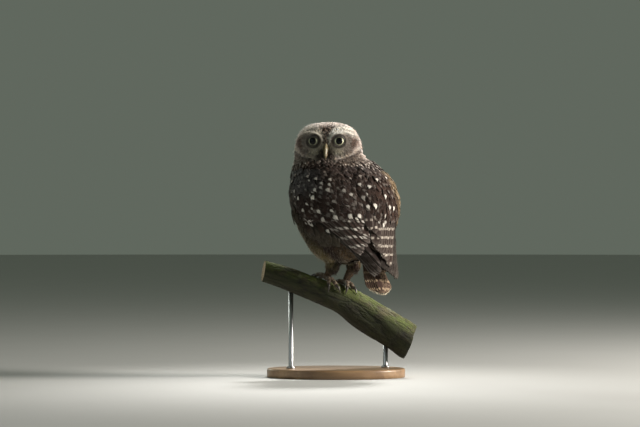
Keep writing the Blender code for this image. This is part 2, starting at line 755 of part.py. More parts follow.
def make_tail(name):
    """The tail: a soft rump pad with twelve feathers fanned from it, the middle pair on top."""
    run = (Vector(TAIL_TIP) - Vector(TAIL_ROOT)).normalized()
    lateral = (tail_place(0, 1, 0) - tail_place(0, 0, 0)).normalized()
    turn = Matrix((lateral, run.cross(lateral), run)).transposed()
    pad = ball(name, tail_place(0.1, 0.0, -3.5), (15.0, 7.5, 20.0), turn, 16, 8)
    boolean(pad, [make_torso_form("torso_room", GAP)], "DIFFERENCE")
    feathers = []
    for i in range(TAIL_FEATHERS):
        rank = i - (TAIL_FEATHERS - 1) / 2
        drop = TAIL_PITCH * (abs(rank) - 0.5) + (0.42 if rank > 0 else 0.0)
        length = 1.0 - 0.012 * abs(rank) ** 1.4

        def place(along, across, out, rank=rank, drop=drop, length=length):
            side = rank * (1.0 + (TAIL_SPREAD - 1.0) * along) + across
            arch = -0.02 * rank * across
            return tail_place(0.1 + (length - 0.1) * along, side, 1.5 - drop + arch + out)

        feathers.append(vane("rectrix", place, TAIL_FEATHER_WIDTH / 2, VANE_THICK, 4))
    return boolean(pad, feathers, "UNION")


perch_at = smooth_table([(x, z, r) for x, z, r in PERCH_LINE])


def perch_frame(x):
    """Centre, axis, up and far directions of the branch where its centre line crosses x."""
    turn = math.radians(PERCH_YAW_DEG)
    z, _ = perch_at(x)
    ahead, behind = perch_at(x + 2.0)[0], perch_at(x - 2.0)[0]
    axis = Vector((1.0, math.tan(turn), (ahead - behind) / 4.0)).normalized()
    far = Vector((0, 0, 1)).cross(axis).normalized()
    up = axis.cross(far)
    return Vector((x, x * math.tan(turn), z)), axis, up, far


def perch_radius(x, around):
    """The branch's radius: lumps, and twisting furrows that deepen downhill."""
    half = float(perch_at(x)[1])
    wave = 0.035 * math.sin(x / 17.0 + 2 * around) + 0.03 * math.sin(x / 9.0 - around + 1.0)
    furrow = 0.045 * math.sin(5 * around + x / 26.0) * min(1.0, max(0.25, (x + 30.0) / 70.0))
    return half * (1.0 + wave + furrow)


def perch_point(x, around, out=0.0):
    """A point of the branch's skin, at an angle from its top towards the far side."""
    centre, _, up, far = perch_frame(x)
    reach = perch_radius(x, around) + out
    return centre + reach * (math.cos(around) * up + math.sin(around) * far)


def make_perch(name, rods):
    first, last = PERCH_LINE[0][0], PERCH_LINE[-1][0]
    rings = []
    for i in range(PERCH_RINGS):
        x = first + (last - first) * i / (PERCH_RINGS - 1)
        rings.append([perch_point(x, math.tau * j / PERCH_SIDES) for j in range(PERCH_SIDES)])
    branch = loft(name, rings)
    return boolean(branch, rods, "DIFFERENCE")


def rod_span(x):
    """Where a rod stands and the heights of its foot and its head, inside the branch."""
    centre = perch_frame(x)[0]
    low = BASE_HEIGHT + GAP - FEET[2]
    under = min(perch_point(x + dx, math.pi)[2] for dx in (-3.0, 0.0, 3.0))
    return centre[0], centre[1], low, under + ROD_GRIP


def rod(name, x, grow=0.0):
    along, across, low, high = rod_span(x)
    collar, shaft = ROD_RADIUS * 1.9 + grow, ROD_RADIUS + grow
    turns = [math.tau * j / ROD_SIDES for j in range(ROD_SIDES)]
    rings = []
    for z, radius in ((low, collar), (low + 2.0, collar), (low + 3.0, shaft), (high + grow, shaft)):
        rings.append([Vector((along + radius * math.cos(t), across + radius * math.sin(t), z)) for t in turns])
    return loft(name, rings)


def make_base(name):
    """The flat oval base, with a rounded upper edge."""
    rings = []
    shoulder = ((BASE_HEIGHT - BASE_BEVEL, 0.0), (BASE_HEIGHT - 0.7, 0.75), (BASE_HEIGHT, BASE_BEVEL))
    for z, inset in ((0.0, 0.6), (0.6, 0.0), *shoulder):
        length, depth = BASE_HALF_LENGTH - inset, BASE_HALF_DEPTH - inset
        turns = [math.tau * j / BASE_SIDES for j in range(BASE_SIDES)]
        rings.append([Vector((length * math.cos(turn), depth * math.sin(turn), z)) for turn in turns])
    return loft(name, rings)


def hips_ahead():
    """The level direction that the owl's hips face."""
    turn = math.radians(HIPS_DEG)
    return Vector((-math.sin(turn), math.cos(turn), 0.0))


def toe_route(foot, swing_deg, way):
    """A straight line on the unrolled branch from a foot, as a function of distance and clearance."""
    x0, aside = foot
    _, axis, _, far = perch_frame(x0)
    start = aside / perch_radius(x0, 0.0)
    heading = Matrix.Rotation(math.radians(-swing_deg * way), 3, "Z") @ hips_ahead()
    level_axis = Vector((axis[0], axis[1], 0)).normalized()
    level_far = Vector((far[0], far[1], 0)).normalized()
    run, across = heading.dot(level_axis), heading.dot(level_far)

    def spot(distance, out):
        x = x0 + distance * run * axis[0]
        around = start + distance * across / (perch_radius(x0, start) + TOE_ROOT_RADIUS)
        return perch_point(x, around, out)

    return spot


def toe_radius(share):
    return TOE_ROOT_RADIUS + (TOE_TIP_RADIUS - TOE_ROOT_RADIUS) * share


def make_digit(name, spot, length):
    """A toe bent round the branch and its curved claw, with a thin gap between their flat ends."""
    toe_path, toe_radii, claw_path, claw_radii = [], [], [], []
    for i in range(6):
        share = i / 5
        radius = toe_radius(share) * (1.0 + 0.1 * math.cos(2.5 * math.tau * share))
        arch = 1.4 * math.sin(math.pi * share)
        toe_path.append(spot(1.0 + (length - 1.0) * share, radius + TOE_CLEARANCE + arch))
        toe_radii.append(radius)
    for i in range(6):
        share = i / 5
        radius = 1.75 * (1 - share) ** 0.8 + 0.3
        hump = 1.6 * math.sin(math.pi * min(1.0, share * 1.25)) * (1 - share)
        clear = TOE_CLEARANCE + toe_radius(1.0) * (1 - share) + radius * share + hump
        claw_path.append(spot(length + GAP + CLAW_LENGTH * share, clear + 0.12))
        claw_radii.append(radius)
    joint = (claw_path[1] - toe_path[-2]).normalized()
    claw_path[0] = toe_path[-1] + joint * GAP
    lean = (0.3, -0.5, 1)
    toe = tube("toe", toe_path, toe_radii, 7, round_end=False, up=lean, ways=(None, joint))
    claw = tube(name, claw_path, claw_radii, 7, round_start=False, up=lean, ways=(joint, None))
    return toe, claw


def ankle(foot):
    """The point where a shank comes down on its foot."""
    x0, aside = foot
    around = aside / perch_radius(x0, 0.0)
    return perch_point(x0, around, 5.2)


def make_foot(foot, way, name):
    spots = {number: toe_route(foot, swing, way) for number, swing, _ in TOES}
    digits = [make_digit(f"claw_{name[5:]}_{number}", spots[number], length) for number, _, length in TOES]
    base = ankle(foot)
    leg_way = (knee(way) - base).normalized()
    sole = ball(name, base - Vector((0, 0, 1.4)), (4.0, 4.0, 3.2), turn_to(leg_way), 10, 6)
    stub = tube("stub", [base - leg_way * 1.5, base, base + leg_way * 3.0], [3.1, 3.1, 3.0], 10, round_end=False)
    boolean(sole, [toe for toe, _ in digits] + [stub], "UNION")
    return sole, [claw for _, claw in digits]


def knee(way):
    """Where a shank runs up into the feathers of the belly."""
    turn = math.radians(HIPS_DEG)
    side = Vector((math.cos(turn), math.sin(turn), 0.0))
    return Vector((1.0, -1.5, 17.0)) + side * way * 14.5


def make_shank(foot, way, name, grow=0.0):
    """The feathered shank between the foot and the thigh, grown outwards by a clearance."""
    base = ankle(foot)
    top = knee(way)
    run = (top - base).normalized()
    start = base + run * (3.0 + GAP)
    path = [start + (top - start) * share for share in (0.0, 0.25, 0.5, 0.75, 1.0)]
    radii = [radius + grow for radius in (3.0, 3.1, 3.4, 4.2, 5.4)]
    return tube(name, path, radii, 10, round_start=False)


def make_thigh(way, name):
    """The short feathered trouser round the top of a shank, under the belly."""
    top = knee(way)
    path = [top + Vector((0, 0, z)) for z in (-5.0, -1.0, 5.0, 12.0)]
    return tube(name, path, [5.8, 7.8, 10.2, 11.8], 14)


def make_legs(materials):
    """Both legs: thigh, shank, foot and four claws each."""
    for way, side, foot in ((-1, "left", FOOT_LEFT), (1, "right", FOOT_RIGHT)):
        thigh = make_thigh(way, f"thigh_{side}")
        shank = make_shank(foot, way, f"shank_{side}")
        boolean(thigh, [make_torso_form("torso_room", GAP)], "DIFFERENCE")
        boolean(shank, [make_torso_form("torso_room", GAP)], "DIFFERENCE")
        boolean(thigh, [make_shank(foot, way, "shank_room", GAP)], "DIFFERENCE")
        sole, claws = make_foot(foot, way, f"foot_{side}")
        finish(thigh, f"thigh_{side}", materials["belly"])
        finish(shank, f"shank_{side}", materials["leg"])
        finish(sole, f"foot_{side}", materials["leg"])
        for claw in claws:
            finish(claw, claw.name, materials["claw"])


def main():
    for item in list(bpy.data.objects):
        bpy.data.objects.remove(item)
    materials = {
        "head": make_material("head_feathers", (0.30, 0.24, 0.21), 0.9),
        "back": make_material("back_feathers", (0.09, 0.065, 0.055), 0.85),
        "belly": make_material("belly_down", (0.33, 0.28, 0.22), 0.95),
        "tail": make_material("tail_feathers", (0.16, 0.08, 0.06), 0.85),
        "eye": make_material("eye", (0.75, 0.72, 0.35), 0.1),
        "bill": make_material("bill_horn", (0.62, 0.56, 0.36), 0.4),
        "leg": make_material("leg_skin", (0.20, 0.11, 0.08), 0.8),
        "claw": make_material("claw_horn", (0.03, 0.025, 0.025), 0.35),
        "wood": make_material("weathered_wood", (0.12, 0.11, 0.05), 0.9),
        "base": make_material("base_wood", (0.32, 0.2, 0.11), 0.5),
        "steel": make_material("rod_steel", (0.5, 0.5, 0.5), 0.3, 1.0),
    }
    head, neck, torso = make_trunk()
    finish(head, "head", materials["head"])
    finish(neck, "neck", materials["back"])
    finish(torso, "torso", materials["back"])
    finish(make_eye(-1, "eye_right"), "eye_right", materials["eye"])
    finish(make_eye(1, "eye_left"), "eye_left", materials["eye"])
    upper, lower = make_bill()
    finish(upper, "bill_upper", materials["bill"])
    finish(lower, "bill_lower", materials["bill"])
    finish(make_wing(-1, "wing_left"), "wing_left", materials["back"])
    finish(make_wing(1, "wing_right"), "wing_right", materials["back"])
    finish(make_tail("tail"), "tail", materials["tail"])
    make_legs(materials)
    rooms = [rod("rod_room", x, GAP) for x in ROD_X]
    finish(make_perch("perch_branch", rooms), "perch_branch", materials["wood"])
    for x, side in zip(ROD_X, ("left", "right")):
        finish(rod("rod", x), f"stand_rod_{side}", materials["steel"])
    finish(make_base("base"), "stand_base", materials["base"], (0, 0, 0))


main()
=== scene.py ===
"""The looks of a young little owl on a cut branch on a plain stand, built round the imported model.

Lengths are millimetres from the point between the owl's feet, as in the model's source. They are turned into
metres, and moved to their place, as each mesh is made. The owl's back is towards -Y and +Z is up.
"""

import math

import bmesh
import bpy
import numpy as np
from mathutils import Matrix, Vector, noise
from mathutils.bvhtree import BVHTree
from mathutils.kdtree import KDTree


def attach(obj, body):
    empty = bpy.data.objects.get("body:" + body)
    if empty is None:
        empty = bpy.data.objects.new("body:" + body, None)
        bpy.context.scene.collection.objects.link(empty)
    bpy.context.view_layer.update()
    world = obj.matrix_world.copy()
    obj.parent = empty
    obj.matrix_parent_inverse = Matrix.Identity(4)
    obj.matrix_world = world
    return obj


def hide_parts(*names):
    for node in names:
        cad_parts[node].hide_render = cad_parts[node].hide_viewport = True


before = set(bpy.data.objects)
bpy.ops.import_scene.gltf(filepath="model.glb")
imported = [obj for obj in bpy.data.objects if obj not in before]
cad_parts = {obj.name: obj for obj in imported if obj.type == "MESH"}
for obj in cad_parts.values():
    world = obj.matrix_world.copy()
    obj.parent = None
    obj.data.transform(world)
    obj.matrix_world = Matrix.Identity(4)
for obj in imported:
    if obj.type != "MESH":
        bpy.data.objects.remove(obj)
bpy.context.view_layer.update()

MM = 0.001
FEET = np.array((6.6, 0.0, 105.0))
DOWN = np.array((0.0, 0.0, -1.0))
UP = np.array((0.0, 0.0, 1.0))
SECTION_POWER = 2.15
ROUND_RADIUS = 52.0
BRIGHTEST = 0.9
rng = np.random.default_rng(41)

# Body sections, each (height, centre x, centre y, half width, back depth, belly depth).
TORSO_SECTIONS = (
    (17.5, -0.5, -5.0, 0.5, 0.5, 0.5),
    (20.0, -0.5, -5.0, 13.0, 13.0, 12.0),
    (25.0, 1.0, -5.0, 25.0, 25.0, 24.0),
    (32.0, 3.0, -5.0, 35.5, 36.0, 35.0),
    (45.0, 4.0, -3.0, 45.0, 45.0, 44.0),
    (60.0, 2.0, 0.5, 50.5, 50.0, 50.0),
    (73.0, 0.8, 3.0, 53.5, 52.0, 52.0),
    (89.0, 0.5, 4.5, 55.0, 51.5, 51.5),
    (104.0, -0.8, 6.5, 53.5, 49.0, 49.0),
    (118.0, -3.2, 9.0, 52.0, 43.0, 45.0),
    (130.0, -8.4, 11.0, 46.0, 34.0, 40.0),
    (142.0, -13.0, 12.0, 34.5, 25.0, 31.0),
    (152.0, -15.0, 12.0, 20.0, 18.0, 18.0),
)
# The surface that the wings lie on.
CARRIER_SECTIONS = (
    (-6.0, 14.5, -19.5, 39.0, 47.0, 30.0),
    (5.0, 14.0, -18.0, 40.0, 48.0, 32.0),
    (15.0, 12.0, -14.0, 41.5, 48.5, 36.0),
    (30.0, 8.5, -9.0, 44.5, 49.5, 42.0),
    (45.0, 5.0, -4.0, 48.0, 50.5, 46.0),
    (60.0, 2.0, 0.5, 52.0, 51.5, 51.0),
    (73.0, 0.8, 3.0, 54.8, 53.3, 53.0),
    (89.0, 0.5, 4.5, 56.3, 52.8, 52.8),
    (104.0, -0.8, 6.5, 54.8, 50.3, 50.3),
    (118.0, -3.2, 9.0, 53.3, 45.8, 46.3),
    (130.0, -8.4, 11.0, 47.3, 39.8, 41.3),
)
# How far the body's sections are turned at each height, in degrees.
TWIST = ((0.0, 44.0), (20.0, 41.0), (45.0, 36.0), (75.0, 26.0), (110.0, 13.0), (150.0, 10.0))

HEAD_CENTRE = np.array((-15.0, 11.0, 139.0))
HEAD_YAW_DEG = 6.0
HEAD_PITCH_DEG = 3.0
HEAD_HALF_WIDTH = 38.0
HEAD_FRONT = 27.0
HEAD_BACK = 33.0
HEAD_UP = 36.0
HEAD_DOWN = 27.0
HEAD_POWER = 2.55
EYE_RADIUS = 8.0
EYE_SIDE = 13.3
EYE_FORWARD = 16.8
EYE_UP = 16.5
EYE_SPLAY_DEG = 10.0
CORNEA_RADIUS = 6.0
CORNEA_RISE = 0.9
PUPIL_RADIUS = 3.75
IRIS_RADIUS = 5.15

# The bill's edge lines from its root to its tip, each (forward, up) from the head's centre.
CULMEN = ((17.0, 14.0), (24.0, 14.6), (29.0, 12.2), (32.4, 7.2), (33.7, 1.4), (33.0, -4.4))
TOMIUM = ((17.0, 6.0), (23.5, 5.8), (27.6, 3.9), (30.2, 0.8), (31.7, -2.0), (32.7, -4.4))
GONYS = ((17.0, 1.8), (22.5, 0.8), (26.2, -0.2), (28.5, -1.4), (29.6, -2.2))
BILL_HALF_WIDTHS = (3.6, 3.2, 2.7, 2.1, 1.35, 0.35)
LOWER_HALF_WIDTHS = (2.8, 2.6, 2.2, 1.5, 0.6)
NOSTRIL = (26.6, 10.4)

# The middle of the pale brow, each (side, up) from the head's centre.
BROW_LINE = ((2.4, 15.5), (7.0, 22.0), (14.0, 25.6), (22.0, 25.2), (29.0, 21.5))

# The pale line along the lower edge of the facial disc, each (side, up) from the head's centre.
CHEEK_LINE = ((3.0, -3.5), (9.0, -1.6), (15.0, 0.4), (22.0, 2.4), (29.0, 5.0), (34.0, 10.0))

PAD_EDGE = 0.3
PAD_POWER = 2.6
# Fleshy pads under the wing feathers' roots, each (middle, slope, half length, half width, height).
PADS = (
    ((57.5, 101.5), -0.25, 38.0, 16.0, 6.2),
    ((25.0, 116.0), -0.08, 20.0, 8.5, 4.6),
)

TAIL_ROOT = np.array((27.0, -33.0, 38.0))
TAIL_TIP = np.array((44.0, -53.0, -12.5))
TAIL_LATERAL_DEG = 40.0

# Branch centre line, each (x, z, half thickness).
PERCH_LINE = (
    (-86.0, 12.5, 11.2),
    (-68.0, 6.5, 11.8),
    (-50.0, -0.8, 12.8),
    (-24.0, -10.0, 14.0),
    (0.0, -20.0, 15.6),
    (21.0, -33.0, 17.6),
    (54.0, -54.5, 18.8),
    (73.0, -67.0, 20.2),
)
PERCH_YAW_DEG = 10.0

HIPS_DEG = 38.0
HIPS = np.array((1.0, -1.5, 17.0))
HIP_REACH = 14.5
FEET_PLACES = ((-23.5, -3.0), (-4.0, 2.0))
# Toes, each (number, angle from straight ahead in degrees, length).
TOES = ((1, 168.0, 12.0), (2, 16.0, 14.5), (3, -14.0, 17.5), (4, -158.0, 15.5))
TOE_CLEARANCE = 0.55
TOE_ROOT_RADIUS = 2.5
TOE_TIP_RADIUS = 1.9
TOE_ARCH = 1.4
CLAW_LENGTH = 8.5
# The shank's radii, and where along it from the foot up they are.
SHANK_SHARES = (0.0, 0.2, 0.45, 0.75, 1.0)
SHANK_RADII = (2.9, 2.9, 3.1, 3.7, 4.6)

BASE_HALF_LENGTH = 76.0
BASE_HALF_DEPTH = 52.0
BASE_HEIGHT = 10.0
BASE_BEVEL = 2.5
ROD_RADIUS = 2.6
ROD_X = (-56.0, 48.0)
ROD_GRIP = 8.0

# Where a round pale spot lies on its feather, from root to tip.
SPOT_PLACE = 0.84
# Angles of the rings that round off a tube's ends.
DOME_ANGLES = (0.5, 1.0, 1.4)
# The side of a small feather's own patch on the unwrapped coat.
PLUME_PATCH = 0.003
# The skin's colours against those of the feathers over it.
SKIN_SHADE = 0.6
FORM_VOXEL = 1.15
BILL_POWER = 2.4
# Steps out and round of the surface that the feathers round an eye lie on.
EYE_STEPS = 12
EYE_SPOKES = 96



def smooth_table(rows):
    """A function of the first column that passes through the rows smoothly, with no overshoot."""
    table = np.array(rows, float)
    x, y = table[:, 0], table[:, 1:]
    step = np.diff(x)
    slope = np.diff(y, axis=0) / step[:, None]
    tangent = np.zeros_like(y)
    tangent[0], tangent[-1] = slope[0], slope[-1]
    before, after = slope[:-1], slope[1:]
    same_way = before * after > 0
    safe = np.where(same_way, before + after, 1.0)
    tangent[1:-1] = np.where(same_way, 2.0 * before * after / safe, 0.0)

    def value(at):
        at = np.clip(np.asarray(at, float), x[0], x[-1])
        i = np.clip(np.searchsorted(x, at, side="right") - 1, 0, len(step) - 1)
        h = step[i][..., None]
        t = (at - x[i])[..., None] / h
        return (
            y[i] * (1 + 2 * t) * (1 - t) ** 2
            + tangent[i] * h * t * (1 - t) ** 2
            + y[i + 1] * t * t * (3 - 2 * t)
            + tangent[i + 1] * h * t * t * (t - 1)
        )

    return value


torso_at = smooth_table(TORSO_SECTIONS)
carrier_at = smooth_table(CARRIER_SECTIONS)
twist_at = smooth_table(TWIST)
perch_at = smooth_table(PERCH_LINE)


def unit(v):
    """Scales vectors to length one."""
    return v / np.maximum(np.linalg.norm(v, axis=-1, keepdims=True), 1e-9)


def laid_on(ways, normals):
    """Ways turned flat on a surface with the given normals."""
    return unit(ways - (ways * normals).sum(axis=1, keepdims=True) * normals)


def spread_of(amount, shape):
    """Random factors round 1."""
    return np.exp(rng.normal(0, amount, shape))


def ring_of(turns):
    """Points of the unit circle round Z at some angles."""
    return np.stack([np.cos(turns), np.sin(turns), 0 * turns], axis=1)


def fade(x, low, high):
    """Rises smoothly from 0 at low to 1 at high."""
    t = np.clip((np.asarray(x, float) - low) / (high - low), 0.0, 1.0)
    return t * t * (3 - 2 * t)


def mix(a, b, share):
    """Between a and b, which are numbers, or places or colours with one share each."""
    share, step = np.asarray(share, float), np.asarray(b, float) - np.asarray(a, float)
    if step.ndim and step.shape[-1] in (2, 3) and share.shape[-1:] != step.shape[-1:]:
        share = share[..., None]
    return np.asarray(a, float) + step * share


def linear(red, green, blue):
    """A colour given in the screen's scale, 0 to 255, as linear light."""
    c = np.array((red, green, blue), float) / 255
    return np.where(c < 0.04045, c / 12.92, ((c + 0.055) / 1.055) ** 2.4)


def section_point(section, angle, height, out):
    """A point at an angle round the body from the mid line of the back, positive to the owl's right."""
    centre_x, centre_y, half_width, back, belly = np.moveaxis(section, -1, 0)
    side, dorsal = np.sin(angle), np.cos(angle)
    depth = np.where(dorsal > 0, back, belly)
    size = np.abs(side / half_width) ** SECTION_POWER + np.abs(dorsal / depth) ** SECTION_POWER
    radius = size ** (-1 / SECTION_POWER) + out
    turn = np.radians(twist_at(height)[..., 0])
    u, v = radius * side, radius * dorsal
    return np.stack([
        centre_x + u * np.cos(turn) + v * np.sin(turn),
        centre_y + u * np.sin(turn) - v * np.cos(turn),
        height + 0.0 * radius,
    ], axis=-1)


def torso_point(angle, height, out=0.0):
    """A point on the torso, or a distance out from it."""
    return section_point(torso_at(height), angle, np.asarray(height, float), out)


def carrier_point(distance, height, out=0.0):
    """A point on the body that carries the wings, by its distance round it."""
    return section_point(carrier_at(height), distance / ROUND_RADIUS, np.asarray(height, float), out)


def round_body(points):
    """Distance round the body from the back's mid line, positive to the owl's right, of points near it."""
    section = torso_at(points[..., 2])
    turn = np.radians(twist_at(points[..., 2])[..., 0])
    dx, dy = points[..., 0] - section[..., 0], points[..., 1] - section[..., 1]
    return ROUND_RADIUS * np.arctan2(
        dx * np.cos(turn) + dy * np.sin(turn), dx * np.sin(turn) - dy * np.cos(turn)
    )


def pad_share(distance, height, pad):
    middle, slope, half_long, half_short, _ = pad
    long_way = unit(np.array((1.0, slope)))
    dx, dz = np.abs(distance) - middle[0], height - middle[1]
    along = np.abs(dx * long_way[0] + dz * long_way[1]) / half_long
    across = np.abs(-dx * long_way[1] + dz * long_way[0]) / half_short
    return (along ** PAD_POWER + across ** PAD_POWER) ** (1 / PAD_POWER)


def pad_rise(distance, height):
    """How high the pads stand over the wing surface."""
    most = np.zeros(np.broadcast(distance, height).shape)
    for pad in PADS:
        share = np.minimum(pad_share(distance, height, pad), 1.0)
        rise = PAD_EDGE + pad[4] * (1 - share ** PAD_POWER) ** 0.8
        most = np.maximum(most, np.where(share < 1.0, rise, 0.0))
    return most


def head_axes():
    """The head's own side, forward and up directions."""
    yaw, pitch = math.radians(HEAD_YAW_DEG), math.radians(HEAD_PITCH_DEG)
    level = np.array((-math.sin(yaw), -math.cos(yaw), 0.0))
    up = np.array((0.0, 0.0, 1.0))
    side = np.array((math.cos(yaw), -math.sin(yaw), 0.0))
    forward = level * math.cos(pitch) - up * math.sin(pitch)
    return np.stack([side, forward, up * math.cos(pitch) + level * math.sin(pitch)], axis=1)


HEAD_AXES = head_axes()


def from_head(places):
    """Points given as side, forward and up from the head's centre."""
    return HEAD_CENTRE + np.asarray(places, float) @ HEAD_AXES.T


def to_head(points):
    """Side, forward and up from the head's centre."""
    return (points - HEAD_CENTRE) @ HEAD_AXES


def eye_distance(local):
    """How far places on the head lie from the nearer eye's axis."""
    return np.hypot(np.abs(local[:, 0]) - EYE_SIDE, local[:, 2] - EYE_UP)


def head_reach(way):
    """How far the head's surface lies from its centre in a direction."""
    side, forward, up = np.moveaxis(way, -1, 0)
    depth = np.where(forward > 0, HEAD_FRONT, HEAD_BACK)
    height = np.where(up > 0, HEAD_UP, HEAD_DOWN)
    size = (
        np.abs(side / HEAD_HALF_WIDTH) ** HEAD_POWER
        + np.abs(forward / depth) ** HEAD_POWER
        + np.abs(up / height) ** HEAD_POWER
    )
    return size ** (-1 / HEAD_POWER)


def head_ratio(local):
    """How far out places lie from the head's centre, 1 on its surface."""
    return np.linalg.norm(local, axis=1) / head_reach(unit(local))


def eye_axis(way):
    """The direction in which an eye looks, with -1 and 1 for the two sides."""
    splay = math.radians(EYE_SPLAY_DEG) * way
    return HEAD_AXES @ np.array((math.sin(splay), math.cos(splay), 0.0))


def eye_centre(way):
    """The middle of an eyeball."""
    return from_head((way * EYE_SIDE, EYE_FORWARD, EYE_UP))


def frame_to(direction):
    """Axes as columns: two across a direction and the direction itself."""
    turn = Vector((0, 0, 1)).rotation_difference(Vector(direction)).to_matrix()
    return np.array(turn)


def curve_points(marks, count):
    """Points along a smooth curve through the marks."""
    table = smooth_table([(i, *mark) for i, mark in enumerate(marks)])
    return table(np.linspace(0, len(marks) - 1, count))


def new_object(name, points, faces, material, at=FEET, smooth=True):
    """A mesh from points in millimetres and a face array with one number of corners."""
    points = np.asarray(points, float).reshape(-1, 3)
    faces = np.asarray(faces, np.int32)
    mesh = bpy.data.meshes.new(name)
    mesh.vertices.add(len(points))
    mesh.vertices.foreach_set("co", ((points + at) * MM).astype(np.float32).ravel())
    mesh.loops.add(faces.size)
    mesh.loops.foreach_set("vertex_index", faces.ravel())
    mesh.polygons.add(len(faces))
    mesh.polygons.foreach_set("loop_start", np.arange(len(faces), dtype=np.int32) * faces.shape[1])
    mesh.polygons.foreach_set("use_smooth", np.full(len(faces), smooth))
    mesh.update(calc_edges=True)
    mesh.materials.append(material)
    made = bpy.data.objects.new(name, mesh)
    bpy.context.scene.collection.objects.link(made)
    return made


def read_vertices(item, what="co"):
    """The places (co) or the normals (normal) of an object's vertices, as Blender keeps them."""
    values = np.zeros(len(item.data.vertices) * 3, np.float32)
    item.data.vertices.foreach_get(what, values)
    return values.reshape(-1, 3).astype(float)


def places_of(item):
    """An object's vertices in millimetres from the feet."""
    return read_vertices(item) / MM - FEET


def paint(item, name, values):
    """Stores numbers or vectors on the vertices, for the material."""
    values = np.asarray(values, np.float32)
    kind = "FLOAT" if values.ndim == 1 else "FLOAT_VECTOR"
    layer = item.data.attributes.new(name, kind, "POINT")
    layer.data.foreach_set("value" if values.ndim == 1 else "vector", values.ravel())


def lay_uv(item, name, places):
    """A UV map with one place for each vertex."""
    layer = item.data.uv_layers.new(name=name)
    corner = np.zeros(len(item.data.loops), np.int32)
    item.data.loops.foreach_get("vertex_index", corner)
    layer.data.foreach_set("uv", np.asarray(places, np.float32)[corner].ravel())


def show(item, slot, *nodes):
    """Ties a piece to the model's root body and hides the nodes that it stands for; its finish, slot, is not
    used.
    """
    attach(item, "root")
    if nodes:
        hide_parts(*nodes)
    return item


def applied(item):
    """The object with its modifiers made part of its mesh."""
    bpy.context.view_layer.update()
    seen = item.evaluated_get(bpy.context.evaluated_depsgraph_get())
    mesh = bpy.data.meshes.new_from_object(seen)
    item.modifiers.clear()
    old = item.data
    item.data = mesh
    bpy.data.meshes.remove(old)
    return item


def join(items, name):
    """One object of several, which are removed."""
    shape = bmesh.new()
    for item in items:
        item.data.transform(item.matrix_world)
        shape.from_mesh(item.data)
    mesh = bpy.data.meshes.new(name)
    shape.to_mesh(mesh)
    shape.free()
    made = bpy.data.objects.new(name, mesh)
    for material in items[0].data.materials:
        mesh.materials.append(material)
    bpy.context.scene.collection.objects.link(made)
    for item in items:
        old = item.data
        bpy.data.objects.remove(item)
        bpy.data.meshes.remove(old)
    return made


def join_fast(items, name):
    """One object of several with the same material, with what is stored on their vertices kept."""
    bpy.ops.object.select_all(action="DESELECT")
    for item in items:
        item.select_set(True)
    bpy.context.view_layer.objects.active = items[0]
    bpy.ops.object.join()
    made = items[0]
    made.name = made.data.name = name
    made.select_set(False)
    return made


def remesh(item, size_mm, smoothing):
    """The object's outer form as one even mesh, smoothed a little."""
    change = item.modifiers.new("blend", "REMESH")
    change.mode = "VOXEL"
    change.voxel_size = size_mm * MM
    change.use_smooth_shade = True
    ease = item.modifiers.new("ease", "SMOOTH")
    ease.factor = 0.5
    ease.iterations = smoothing
    return applied(item)


def grid_faces(rows, columns, closed=False):
    """Quads of a grid of points. A closed grid joins its last column to its first."""
    i, j = np.meshgrid(np.arange(rows - 1), np.arange(columns if closed else columns - 1), indexing="ij")
    i, j = i.ravel(), j.ravel()
    k = (j + 1) % columns
    return np.stack([i * columns + j, i * columns + k, (i + 1) * columns + k, (i + 1) * columns + j], axis=1)


def lathe_object(name, rings, material, at=FEET):
    """A closed tube through rings of points, (rows, columns, 3), with a fan over each end."""
    rows, columns, _ = rings.shape
    points = rings.reshape(-1, 3)
    ends = np.stack([rings[0].mean(axis=0), rings[-1].mean(axis=0)])
    quads = grid_faces(rows, columns, closed=True)
    j = np.arange(columns)
    k = (j + 1) % columns
    last = (rows - 1) * columns
    middle = np.full(columns, len(points))
    triangles = np.concatenate([
        quads[:, [0, 1, 2]],
        quads[:, [0, 2, 3]],
        np.stack([k, j, middle], axis=1),
        np.stack([last + j, last + k, middle + 1], axis=1),
    ])
    made = new_object(name, np.concatenate([points, ends]), triangles, material, at)
    shape = bmesh.new()
    shape.from_mesh(made.data)
    bmesh.ops.recalc_face_normals(shape, faces=shape.faces)
    bmesh.ops.join_triangles(shape, faces=shape.faces, angle_face_threshold=0.6, angle_shape_threshold=0.9)
    shape.to_mesh(made.data)
    shape.free()
    return made


def tube_rings(path, radii, sides=16, up=(0.3, -0.5, 1.0)):
    """Rings of points round a path, with small domes at its two ends."""
    path, radii = np.asarray(path, float), np.asarray(radii, float)
    ahead = unit(np.gradient(path, axis=0))
    side = unit(np.cross(ahead, np.asarray(up, float)))
    rise = np.cross(side, ahead)
    turns = np.linspace(0, math.tau, sides, endpoint=False)
    around = np.cos(turns)[None, :, None] * side[:, None] + np.sin(turns)[None, :, None] * rise[:, None]
    rings = path[:, None] + radii[:, None, None] * around
    domes = []
    for index, sign in ((0, -1.0), (-1, 1.0)):
        dome = [
            path[index] + sign * ahead[index] * radii[index] * math.sin(t)
            + radii[index] * math.cos(t) * around[index]
            for t in DOME_ANGLES
        ]
        domes.append(np.array(dome[::-1] if index == 0 else dome))
    return np.concatenate([domes[0], rings, domes[1]])


